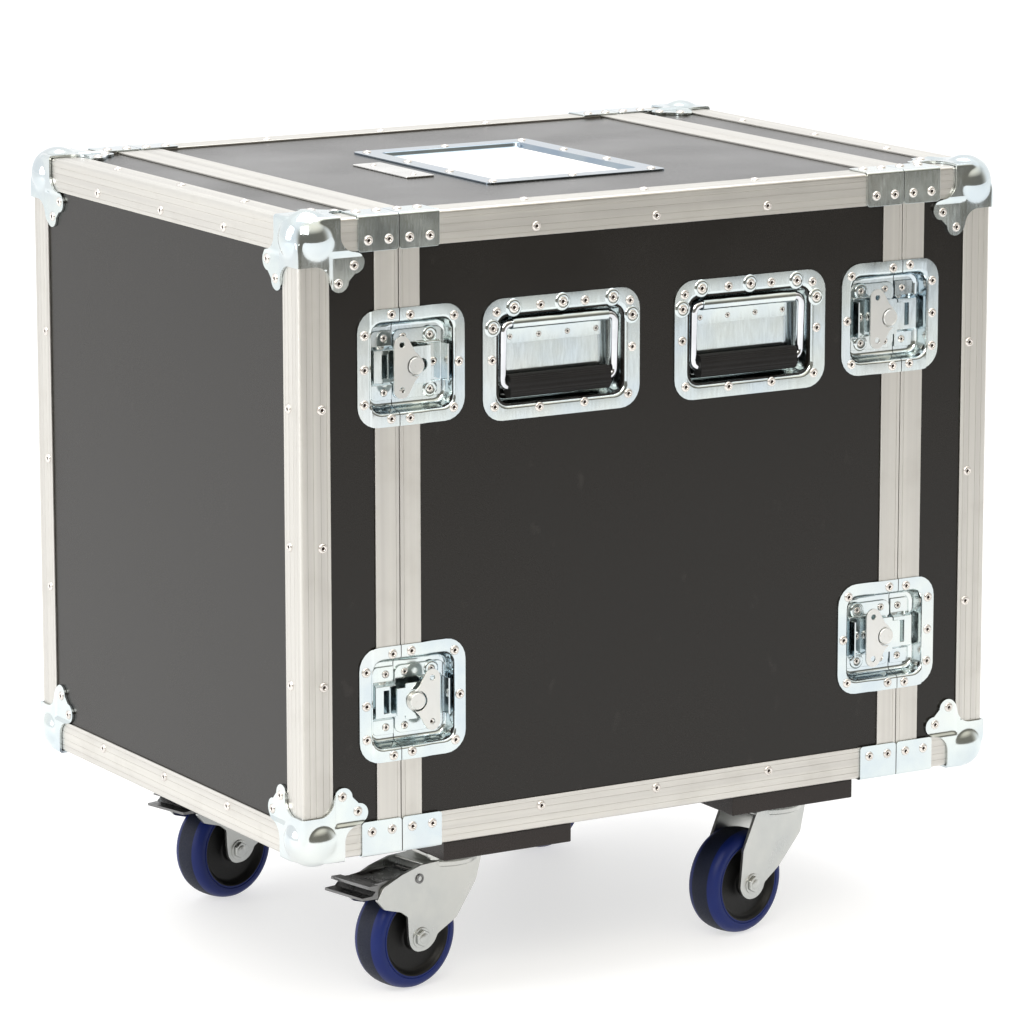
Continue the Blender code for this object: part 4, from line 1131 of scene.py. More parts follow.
@dataclass
class ClosingProfiles(Fitting):
    """Channel profiles that close on each other at the seams, with a corner brace on each edge."""

    body_leg: float = 20.8 * MM
    lid_leg: float = 24 * MM
    nose: float = 8 * MM
    inner_leg: float = 18 * MM
    inner_depth: float = 11.1 * MM
    tongue: float = 5 * MM
    tongue_half: float = 1.5 * MM
    tongue_room: float = 0.6 * MM
    pocket_half: float = 41.6 * MM
    pocket_depth: float = 16 * MM
    brace_reach: float = 31 * MM
    brace_width: float = 40.5 * MM
    brace_proud: float = 1.5 * MM
    brace_sheet: float = 1.2 * MM
    brace_corner: float = 3 * MM
    brace_rivet_inset: float = 21 * MM
    brace_rivet_row: Flat = (10 * MM, 30.5 * MM)
    latch_height: float = 151.25 * MM

    def section(self, leg: float, key: float) -> list[Flat]:
        """Section from the seam inwards, as (from the seam, depth), with its tongue or groove.

        Args:
            leg: Width of the outer leg.
            key: How far the tongue stands out, or the groove goes in.

        Returns:
            The points of the section.
        """
        wall = CASE.angle_wall
        face = [(0, 0.5), (0.35, 0), (3.3, 0), (3.45, 0.3), (3.75, 0.3), (3.9, 0)]
        face += [(leg / MM - 0.3, 0), (leg / MM, 0.3)]
        middle = (self.inner_depth + wall) / 2
        half = self.tongue_half + (self.tongue_room if key > 0 else 0)
        back = self.inner_depth + wall
        rest = [(leg, wall), (self.nose, wall), (self.nose, self.inner_depth)]
        rest += [(self.inner_leg, self.inner_depth), (self.inner_leg, back)]
        rest += [(0, back), (0, middle + half), (key, middle + half)]
        return in_mm(face) + rest + [(key, middle - half), (0, middle - half)]

    def frame_of(self, name: str, start: float, way: int, section: Sequence[Point]) -> Piece:
        """Carries a section round the case: an edge loop extruded and resized from point to point.

        Args:
            name: Name of the piece.
            start: X of the seam's edge.
            way: Direction along X in which the section grows.
            section: Points of the section.

        Returns:
            The closed mitred frame, without its latch pockets.
        """
        BENCH.clear()
        middle = (start + way * section[0][0], 0, CASE.middle)
        bpy.ops.mesh.primitive_plane_add(size=2, location=middle, rotation=(0, math.pi / 2, 0))
        piece = BENCH.settle(name)
        BENCH.enter()
        depth = section[0][1]
        size = [CASE.half_y - depth, CASE.half_z - depth]
        bpy.ops.transform.resize(value=(1, *size), center_override=middle)
        bpy.ops.mesh.delete(type="ONLY_FACE")
        bpy.ops.mesh.select_all(action="SELECT")
        here = section[0]
        for there in [*section[1:], section[0]]:
            shift = (way * (there[0] - here[0]), 0, 0)
            bpy.ops.mesh.extrude_region_move(TRANSFORM_OT_translate={"value": shift})
            grown = (CASE.half_y - there[1], CASE.half_z - there[1])
            ratio = (1, grown[0] / size[0], grown[1] / size[1])
            bpy.ops.transform.resize(value=ratio, center_override=(0, 0, CASE.middle))
            size, here = grown, there
        BENCH.outward()
        return piece

    def pockets(self, start: float, end: float) -> Piece:
        """Blocks that clear the profile for the four latch dishes of a seam.

        Args:
            start: X where the pockets begin.
            end: X where they end.

        Returns:
            The pockets, as one piece.
        """
        blocks = []
        for face, level in product(Face, Level):
            centre = CASE.middle + level.value * self.latch_height
            near, far = sorted(face.value * (CASE.half_y + out) for out in (self.nose, -self.pocket_depth))
            low, high = (start, near, centre - self.pocket_half), (end, far, centre + self.pocket_half)
            blocks.append(BENCH.block("pocket", low, high))
        return BENCH.join("pockets", blocks)

    def brace(self, start: float, end: float) -> Piece:
        """Folded corner brace over the front top edge.

        Args:
            start: X of one end.
            end: X of the other end.

        Returns:
            The brace.
        """
        fold = CASE.angle_radius - self.brace_proud
        outer = [(self.brace_reach, -self.brace_proud), *arc((fold, fold), CASE.angle_radius, 270, 180, 6)]
        outer.append((-self.brace_proud, self.brace_reach))
        inner_radius = CASE.angle_radius - self.brace_sheet
        inner = [(self.brace_sheet - self.brace_proud, self.brace_reach)]
        inner += arc((fold, fold), inner_radius, 180, 270, 6)
        inner.append((self.brace_reach, self.brace_sheet - self.brace_proud))
        outline = [(-CASE.half_y + across, CASE.top - down) for across, down in outer + inner]
        piece = BENCH.cut_sheet("brace", outline, start, end - start)
        BENCH.place(piece, STAND_X)
        near = 0.01 * MM

        def corner(a: Vector, b: Vector) -> bool:
            """Whether an edge crosses the sheet at one of its four free corners."""
            thin = (a - b).length < self.brace_sheet + near
            low = max(a.z, b.z) < CASE.top - self.brace_reach + near
            deep = min(a.y, b.y) > self.brace_reach - CASE.half_y - near
            at_end = abs(a.x - b.x) < near and min(abs(a.x - start), abs(a.x - end)) < near
            return thin and at_end and (low or deep)

        BENCH.round_edges(piece, corner, self.brace_corner, 4)
        return BENCH.finish(piece, self.finishes.zinc, 30, 0.3 * MM, 2, 60)

    def dress_frame(self, piece: Piece) -> None:
        """Gives the uprights and the level bars drawing lines along their own length.

        Args:
            piece: A closing profile.
        """
        BENCH.dress(piece, self.finishes.profile[Lay.ALONG_Z])

        def level(at: Vector, out: Vector) -> bool:
            """Whether a face belongs to a level bar."""
            return CASE.half_z - abs(at.z - CASE.middle) < CASE.half_y - abs(at.y)

        BENCH.paint(piece, self.finishes.profile[Lay.ALONG_Y], level)
        BENCH.smooth(piece, 25)

    def build(self) -> None:
        """Builds both frames of the left seam and their braces, and mirrors them to the right."""
        for word, way, leg, key in (
            ("body", 1, self.body_leg, self.tongue + self.tongue_room),
            ("lid", -1, self.lid_leg, -self.tongue),
        ):
            start = -CASE.seam_x + way * CASE.half_seam
            profile = self.frame_of(f"closing_{word}", start, way, self.section(leg, key))
            ends = sorted((start - way * 2 * self.tongue, start + way * 2 * leg))
            BENCH.carve(profile, self.pockets(*ends))
            self.dress_frame(profile)
            brace = self.brace(*sorted((start, start + way * self.brace_width)))
            for side in Side:
                flip = mirror(x=-side.value)
                body = "body" if word == "body" else f"lid_{side.word}"
                node = f"body_closing_frame_{side.word}" if word == "body" else f"lid_frame_{side.word}"
                self.put(profile, f"closing_profile_{word}_{side.word}", flip, body, node)
                for where, edge in four_long_edges().items():
                    self.put(brace, f"brace_{word}_{side.word}_{where}", flip @ edge, body, node)
                    self.brace_rivets(body, flip @ edge, start, way)
            BENCH.discard(profile, brace)

    def brace_rivets(self, body: str, matrix: Matrix, start: float, way: int) -> None:
        """Sets the two rivets on each leg of a brace.

        Args:
            body: Body that the brace rides on.
            matrix: Takes the front top brace to its edge.
            start: X of the brace's end at the seam.
            way: Direction along X in which it reaches.
        """
        inset, proud = self.brace_rivet_inset, self.brace_proud
        for away in self.brace_rivet_row:
            x = start + way * away
            self.rivets.add(body, matrix, (x, -CASE.half_y - proud, CASE.top - inset), FRONTWARD)
            self.rivets.add(body, matrix, (x, inset - CASE.half_y, CASE.top + proud), UP)


@dataclass
class BallCorners(Fitting):
    """Pressed ball corner: a ball that swells out of three leaves, each with two riveted lobes."""

    ball_radius: float = 25 * MM
    ball_inset: float = 17.5 * MM
    proud: float = 2.5 * MM
    sheet: float = 2.1 * MM
    fold: float = 3 * MM
    reach: float = 40.5 * MM
    arch: float = 15 * MM
    lobe_near: float = 39.8 * MM
    lobe_far: float = 55.5 * MM
    lobe_radius: float = 9.4 * MM
    step: float = 1.9 * MM
    step_from: float = 29.5 * MM
    step_width: float = 3.5 * MM
    span: float = 68 * MM
    cuts: int = 50
    blend: float = 1.6 * MM
    ease: float = 0.55
    clear: float = 12 * MM
    apart: float = 0.4 * MM
    cutter_depth: float = 19 * MM
    lobe_rivets: tuple[Flat, Flat] = ((56.9 * MM, 38.9 * MM), (41.9 * MM, 54.5 * MM))

    def leaf_outline(self, out: float) -> list[Flat]:
        """Outline of one leaf, in distances from the two edges of its face.

        Args:
            out: Distance of its outer corner from both edges.

        Returns:
            The outline.
        """
        arch = arc((self.arch, self.reach + self.arch), self.arch, -90, 0, 10)
        lobe = arc((self.lobe_near, self.lobe_far), self.lobe_radius, 180, 0, 20)
        down = [(out, out), (out, self.reach), *arch, *lobe]
        return down + [(b, a) for a, b in reversed(down[1:])]

    def surface(self, at: Vector) -> Vector:
        """Where a point of the plain cube corner goes: rounded fold, ball and stepped lobes.

        Args:
            at: Point on the cube, measured inwards from the case's corner.

        Returns:
            The point of the pressed surface.
        """
        inset, radius = self.ball_inset, self.ball_radius
        origin = Vector(max(number, inset) for number in at)
        way = Vector(min(number, inset) - inset for number in at)
        flat = sorted(way)
        way.normalize()
        along = [number for number in way if number < -0.0001]
        depth = inset + self.proud
        plain = depth / max(-number for number in way)
        if len(along) > 1:
            corner = depth - self.fold
            fold_at = Vector((corner if number < -0.0001 else 0) for number in way)
            back = -way
            spread = back.dot(fold_at)
            room = spread * spread - fold_at.length_squared + self.fold**2
            inside = all(-number * plain >= corner for number in way if number < -0.0001)
            if inside and room > 0:
                plain = spread + math.sqrt(room)
        shift = (origin - Vector((inset,) * 3)).length
        trimmed = self.smooth_low(plain, radius + self.ease * shift)
        ball = math.sqrt(max(radius**2 - shift**2, 0))
        length = self.smooth_high(trimmed, ball)
        point = origin + way * length
        if flat[1] >= 0 and flat[0] < 0:
            others = [number for number in at if number > -self.proud / 2]
            if len(others) == 2:
                share = min(max((min(others) - self.step_from) / self.step_width, 0), 1)
                point += -way * self.step * share * share * (3 - 2 * share)
        return point

    def smooth_low(self, a: float, b: float) -> float:
        """The lower of two values, eased where they meet."""
        return (a + b - math.sqrt((a - b) ** 2 + self.blend**2)) / 2 + self.blend / 8

    def smooth_high(self, a: float, b: float) -> float:
        """The higher of two values, eased where they meet."""
        return (a + b + math.sqrt((a - b) ** 2 + (self.blend / 2) ** 2)) / 2 - self.blend / 16

    def corner(self) -> Piece:
        """Presses one corner, measured inwards from the case's corner.

        Returns:
            The ball corner, for the corner at the origin.
        """
        low, high = (-self.proud,) * 3, (self.span,) * 3
        piece = BENCH.block("ball_corner", low, high)
        BENCH.pick_faces(piece, lambda at, out: max(out) > 0.5)
        bpy.ops.mesh.delete(type="FACE")
        bpy.ops.mesh.select_all(action="SELECT")
        bpy.ops.mesh.subdivide(number_cuts=self.cuts)
        BENCH.leave()
        for vert in piece.data.vertices:
            vert.co = self.surface(vert.co)
        BENCH.thicken(piece, self.sheet)
        cutters = []
        for i, turn in enumerate(THREE_FACES):
            outline = self.leaf_outline(-self.clear - i * self.apart)
            cutter = BENCH.cut_sheet("leaf_cutter", outline, -self.clear - 3 * self.apart, self.cutter_depth)
            cutters.append(BENCH.place(cutter, turn))
        whole = cutters[0]
        for other in cutters[1:]:
            BENCH.carve(whole, other, "UNION")
        BENCH.carve(piece, whole, "INTERSECT")
        return BENCH.finish(piece, self.finishes.zinc, 40)

    def build(self) -> None:
        """Places all eight corners and their rivets."""
        master = self.corner()
        corner = Matrix.Translation((-CASE.half_x, -CASE.half_y, CASE.top)) @ Matrix.Diagonal((1, 1, -1, 1))
        for side in Side:
            for where, edge in four_long_edges().items():
                matrix = mirror(x=-side.value) @ edge @ corner
                lid = f"lid_{side.word}"
                self.put(master, f"ball_corner_{side.word}_{where}", matrix, lid, f"lid_frame_{side.word}")
                for turn in THREE_FACES:
                    for x, y in self.lobe_rivets:
                        self.rivets.add(lid, matrix @ turn, (x, y, self.step - self.proud), -UP)
        BENCH.discard(master)


@dataclass
class PressedDish:
    """A dish pressed from sheet: a flat flange, a rounded lip and a recess with a rounded floor."""

    low: Point
    high: Point
    corner: float
    recess_low: Point
    recess_high: Point
    recess_corner: float
    depth: float
    top: float
    sheet: float = 1.2 * MM
    lip: float = 2.2 * MM
    floor_bend: float = 3.5 * MM
    draft: float = 1.2 * MM
    steps: int = 6

    def skin(self, name: str) -> Piece:
        """Presses the outer skin, lying level with its flange at the top height.

        Args:
            name: Name of the piece.

        Returns:
            The open skin, its faces pointing up.
        """
        BENCH.clear()
        bpy.ops.mesh.primitive_plane_add(size=MM)
        piece = BENCH.settle(name)
        BENCH.enter()
        bpy.ops.mesh.delete(type="VERT")
        BENCH.rounded_plane(self.low, self.high, self.top, self.corner, self.steps)
        bpy.ops.mesh.select_all(action="DESELECT")
        low = [number - self.lip for number in self.recess_low]
        high = [number + self.lip for number in self.recess_high]
        BENCH.rounded_plane(low, high, self.top, self.recess_corner + self.lip, self.steps)
        bpy.ops.mesh.select_all(action="SELECT")
        bpy.ops.mesh.bridge_edge_loops()
        bpy.ops.mesh.normals_make_consistent(inside=False)
        room = 1.5 * self.lip

        def rim(a: Vector, b: Vector) -> bool:
            """Whether an edge lies on the recess's rim."""
            low, high = self.recess_low, self.recess_high
            return all(low[i] - room < p[i] < high[i] + room for p in (a, b) for i in (0, 1))

        BENCH.pick_edges(piece, rim)
        down = self.top + self.depth
        bpy.ops.mesh.extrude_edges_move(TRANSFORM_OT_translate={"value": (0, 0, -down)})
        middle = [(a + b) / 2 for a, b in zip(self.recess_low, self.recess_high)]
        inset = self.lip + self.draft
        ratio = [1 - 2 * inset / (b - a) for a, b in zip(low, high)]
        bpy.ops.transform.resize(value=(*ratio, 1), center_override=(*middle, -self.depth))
        bpy.ops.mesh.edge_face_add()
        bpy.ops.mesh.select_all(action="SELECT")
        bpy.ops.mesh.normals_make_consistent(inside=False)
        BENCH.leave()
        if min(piece.data.polygons, key=lambda face: face.center.z).normal.z < 0:
            BENCH.enter_whole()
            bpy.ops.mesh.flip_normals()
            BENCH.leave()
        self.bend(piece, self.top, self.lip)
        self.bend(piece, -self.depth, self.floor_bend)
        return piece

    def bend(self, piece: Piece, height: float, width: float) -> None:
        """Rounds the recess's edge at a height.

        Args:
            piece: The skin.
            height: Height of the bend.
            width: Width of its round.
        """
        near = 0.05 * MM
        low = [number - self.lip - near for number in self.recess_low]
        high = [number + self.lip + near for number in self.recess_high]

        def on_edge(a: Vector, b: Vector) -> bool:
            """Whether an edge follows the recess at this height."""
            level = max(abs(a.z - height), abs(b.z - height)) < near
            return level and all(low[i] < p[i] < high[i] for p in (a, b) for i in (0, 1))

        BENCH.round_edges(piece, on_edge, width, 4, clamp=True)


LATCH_FRAME = Matrix(
    ((1, 0, 0, -CASE.seam_x), (0, 0, -1, -CASE.half_y), (0, 1, 0, 589.6 * MM), (0, 0, 0, 1))
)


@dataclass
class Latches(Fitting):
    """Recessed butterfly latches. Each is made level: X from the seam, Y up the case, Z outwards."""

    guide_reach: Flat = (24.3 * MM, 48 * MM)
    dimple_at: Flat = (37.8 * MM, 24.3 * MM)
    wing_hole: Flat = (-14.6 * MM, 20 * MM)
    height: float = 105 * MM
    lid_reach: float = 41.7 * MM
    body_reach: float = 66.8 * MM
    corner: float = 20 * MM
    recess_half: float = 38.5 * MM
    recess_lid: float = 26.4 * MM
    recess_body: float = 54 * MM
    recess_corner: float = 9 * MM
    depth: float = 14 * MM
    flange_top: float = 1.2 * MM
    sheet: float = 1.2 * MM
    sink: float = 1.5 * MM
    lid_crank: float = 28 * MM
    ramp: Flat = (23 * MM, 32 * MM)
    spindle: float = 15.3 * MM
    base_top: float = -12.2 * MM
    base_end: float = 52 * MM
    base_half: float = 31 * MM
    base_sheet: float = 1.8 * MM
    hook_half: float = 16.5 * MM
    hook_nose_half: float = 12.7 * MM
    hook_sheet: float = 1.5 * MM
    wing_top: float = 4.6 * MM
    wing_sheet: float = 1.8 * MM
    points_to_seam: str = "front_left_upper"
    flange_rivets: tuple[Point, ...] = (
        (-8.1, 47.2), (10.8, 45.6), (56.2, 41.2), (60.8, -0.4), (55.5, -41.1),
        (10.3, -46.2), (-8.7, -45.4), (-34.5, 30.3), (-34.8, -0.2), (-35.0, -31.1),
    )
    floor_rivets: tuple[Point, ...] = ((-8.65, 24.2, -12.2), (10.65, 24.5, -12.2), (37.8, 24.3, -12.0))

    def dish(self) -> tuple[Piece, Piece]:
        """Presses the dish, cranks its flange down to the panels and cuts it in two at the seam.

        Returns:
            The lid's half and the body's half.
        """
        pressed = PressedDish(
            low=(-self.lid_reach, -self.height / 2),
            high=(self.body_reach, self.height / 2),
            corner=self.corner,
            recess_low=(-self.recess_lid, -self.recess_half),
            recess_high=(self.recess_body, self.recess_half),
            recess_corner=self.recess_corner,
            depth=self.depth,
            top=self.flange_top,
        )
        skin = pressed.skin("latch_dish")
        for x in (-self.lid_crank, -self.lid_crank - self.sheet, *self.ramp):
            BENCH.slice(skin, x)
        middle = -self.depth / 2
        near = 0.05 * MM
        BENCH.pick_points(skin, lambda at: at.z > middle and at.x < -self.lid_crank - self.sheet / 2)
        bpy.ops.transform.translate(value=(0, 0, -self.sink))
        BENCH.pick_points(skin, lambda at: at.z > middle and at.x > self.ramp[1] - near)
        bpy.ops.transform.translate(value=(0, 0, -self.sink))
        BENCH.leave()
        halves = []
        for name, way in (("latch_dish_lid", -1), ("latch_dish_body", 1)):
            half = BENCH.copy(skin, name)
            BENCH.slice(half, way * CASE.half_seam, "behind" if way < 0 else "front")
            BENCH.thicken(half, self.sheet)
            halves.append(BENCH.finish(half, self.finishes.zinc, 50))
        BENCH.discard(skin)
        return halves[0], halves[1]

    def across(self, name: str, line: Sequence[Point], thickness: float, start: float, end: float) -> Piece:
        """A sheet bent along a (up, out) line, running along X from start to end."""
        piece = BENCH.cut_sheet(name, folded(line, thickness), start, end - start)
        return BENCH.place(piece, STAND_X)

    def keeper(self) -> Piece:
        """Keeper in the lid: two pads on the floor and a raised bridge with the hook's slot.

        Returns:
            The keeper.
        """
        line = in_mm([(-31, -12.2), (-17.5, -12.2), (-14.2, -7), (14.2, -7), (17.5, -12.2), (31, -12.2)])
        piece = self.across("latch_keeper", line, 1.6 * MM, -21.5 * MM, -0.7 * MM)
        slot = BENCH.block("slot", (-13.2 * MM, -10.5 * MM, -9.5 * MM), (-7.4 * MM, 10.5 * MM, 0))
        BENCH.carve(piece, slot)
        for y in (-31 * MM, 31 * MM):
            self.round_end(piece, (-21.5 * MM, y), 4 * MM)
        return BENCH.finish(piece, self.finishes.zinc, 40, 0.35 * MM, 2, 25)

    def round_end(self, piece: Piece, at: Point, radius: float) -> None:
        """Rounds the corner of a sheet whose edge stands at a place.

        Args:
            piece: The plate.
            at: The corner.
            radius: Its radius.
        """
        near = 0.05 * MM

        def stands(a: Vector, b: Vector) -> bool:
            """Whether an edge stands on the corner."""
            return all(abs(p.x - at[0]) < near and abs(p.y - at[1]) < near for p in (a, b))

        BENCH.round_edges(piece, stands, radius, 4)

    def base(self) -> Piece:
        """Base plate in the body: rounded ends, two raised rings, a collar at the spindle and guides for the
        draw plate.

        Returns:
            The base plate.
        """
        outline = face_rounded((0.7 * MM, -self.base_half), (self.base_end, self.base_half), 7 * MM, 6)
        piece = BENCH.cut_sheet("latch_base", outline, self.base_top - self.base_sheet, self.base_sheet)
        BENCH.soften(piece, 0.5 * MM, 2, 60)
        parts = [piece]
        start, end = self.guide_reach
        for way in (-1, 1):
            inner = way * (self.hook_half + 0.3 * MM)
            near, far = sorted((inner, inner + way * 2.2 * MM))
            low, high = (start, near, self.base_top - 0.2 * MM), (end, far, self.base_top + 2.6 * MM)
            guide = BENCH.block("guide", low, high)
            BENCH.soften(guide, 0.7 * MM, 3)
            parts.append(guide)
            profile = [(3.4, 0), (3.8, 1.0), (5.6, 1.5), (7.0, 0.9), (7.6, 0), (7.6, -0.4), (3.4, -0.4)]
            dimple = BENCH.turned("dimple", profile, 24, closed=True)
            x, y = self.dimple_at
            parts.append(BENCH.place(dimple, Matrix.Translation((x, way * y, self.base_top))))
        column = [(0, -14), (9.6, -14), (9.6, -12.4), (7.8, -11.4), (5.4, -11.1), (5.4, -10.9), (0, -10.9)]
        collar = BENCH.turned("collar", column, 32)
        parts.append(BENCH.place(collar, Matrix.Translation((self.spindle, 0, 0))))
        piece = BENCH.join("latch_base", parts)
        return BENCH.finish(piece, self.finishes.zinc, 40)

    def hook(self) -> Piece:
        """Draw plate: a slotted upper sheet, a step down to the base and a turned-up tail.

        Returns:
            The draw plate.
        """
        line = [(-3.5, -0.2), (28, -0.2), (33, -1.6), (34.5, -10.4), (47.2, -10.4), (48.0, -9.6), (48.0, 1.8)]
        outline = folded(in_mm(line), self.hook_sheet)
        piece = BENCH.cut_sheet("latch_hook", outline, -self.hook_half, 2 * self.hook_half)
        BENCH.place(piece, STAND_Y)
        for way in (-1, 1):
            near, far = sorted((way * self.hook_nose_half, way * 2 * self.hook_half))
            BENCH.carve(piece, BENCH.block("trim", (-9 * MM, near, -6 * MM), (5 * MM, far, 3 * MM)))
        outline = arc((self.spindle + 8 * MM, 0), 5.8 * MM, -90, 90, 10)
        outline += arc((self.spindle, 0), 5.8 * MM, 90, 270, 10)
        BENCH.carve(piece, BENCH.cut_sheet("slot", outline, -5 * MM, 8 * MM))
        for x, y in ((-3.5, 12.7), (-3.5, -12.7), (5, 16.5), (5, -16.5)):
            self.round_end(piece, (x * MM, y * MM), 2 * MM)
        return BENCH.finish(piece, self.finishes.zinc, 40, 0.35 * MM, 2, 30)

    def wing(self) -> Piece:
        """Butterfly wing, pointing to the seam, with its boss disc in a round opening.

        Returns:
            The wing, with its boss and spindle.
        """
        hole_x, hole_y = self.wing_hole
        lobe = [(hole_x + x, hole_y + y) for x, y in arc((0, 0), 8 * MM, 28, 180, 10)]
        waist = in_mm([(4.2, 5.5), (2.6, 9.4), (-1.5, 13.2)])
        upper = waist + lobe
        outline = upper + [(x, -y) for x, y in reversed(upper)]
        piece = BENCH.cut_sheet("latch_wing", outline, self.wing_top - self.wing_sheet, self.wing_sheet)
        for y in (-hole_y, hole_y):
            BENCH.bore(piece, (hole_x, y, 0), (hole_x, y, 9 * MM), 2.7 * MM, 20)
        BENCH.bore(piece, (0, 0, 0), (0, 0, 9 * MM), 9.3 * MM, 40)
        BENCH.soften(piece, 0.45 * MM, 3, 50)
        BENCH.dress(piece, self.finishes.satin)
        profile = [(0, -13.6), (4.8, -13.6), (4.8, 0.15), (9.4, 0.15), (9.4, 0.7), (7.9, 0.7), (7.9, 4.1)]
        profile += [(7.3, 4.9), (6.7, 4.9), (6.5, 4.55), (0, 4.55)]
        boss = BENCH.turned("boss", profile, 40)
        BENCH.dress(boss, self.finishes.satin)
        for x in (-2.6 * MM, 2.6 * MM):
            mark = BENCH.rod("mark", (x, 0, 4.3 * MM), (x, 0, 6 * MM), 1.25 * MM, 16)
            BENCH.carve(boss, mark)
        piece = BENCH.join("latch_wing", [piece, boss])
        BENCH.smooth(piece, 24)
        return piece

    def build(self) -> None:
        """Places the eight latches."""
        lid_half, body_half = self.dish()
        keeper, base, hook, wing = self.keeper(), self.base(), self.hook(), self.wing()
        for face, side, level in product(Face, Side, Level):
            where = f"{face.word}_{side.word}_{level.word}"
            place = mirror(x=-side.value, y=-face.value, z=level.value) @ LATCH_FRAME
            lid, lid_node = f"lid_{side.word}", f"lid_frame_{side.word}"
            node = f"body_closing_frame_{side.word}"
            self.put(lid_half, f"latch_dish_lid_{where}", place, lid, lid_node)
            self.put(keeper, f"latch_keeper_{where}", place, lid, lid_node)
            self.put(body_half, f"latch_dish_body_{where}", place, "body", node)
            self.put(base, f"latch_base_{where}", place, "body", node)
            self.put(hook, f"draw_plate_{where}", place, f"hook_{where}", f"latch_hook_{where}")
            turned = 0 if where == self.points_to_seam else math.pi
            spindle = Matrix.Translation((self.spindle, 0, 0)) @ Matrix.Rotation(turned, 4, "Z")
            self.put(wing, f"butterfly_wing_{where}", place @ spindle, f"wing_{where}", f"latch_wing_{where}")
            for x, y in in_mm(self.flange_rivets):
                sunk = x < -self.lid_crank or x > self.ramp[1]
                rise = self.flange_top - (self.sink if sunk else 0)
                self.rivets.add(lid if x < 0 else "body", place, (x, y, rise), UP)
            for x, y, z in in_mm(self.floor_rivets):
                for up in (-y, y):
                    self.rivets.add(lid if x < 0 else "body", place, (x, up, z), UP, 0.8)
            self.rivets.add(f"hook_{where}", place, (40 * MM, 0, -10.4 * MM), UP, 0.95)
        BENCH.discard(lid_half, body_half, keeper, base, hook, wing)


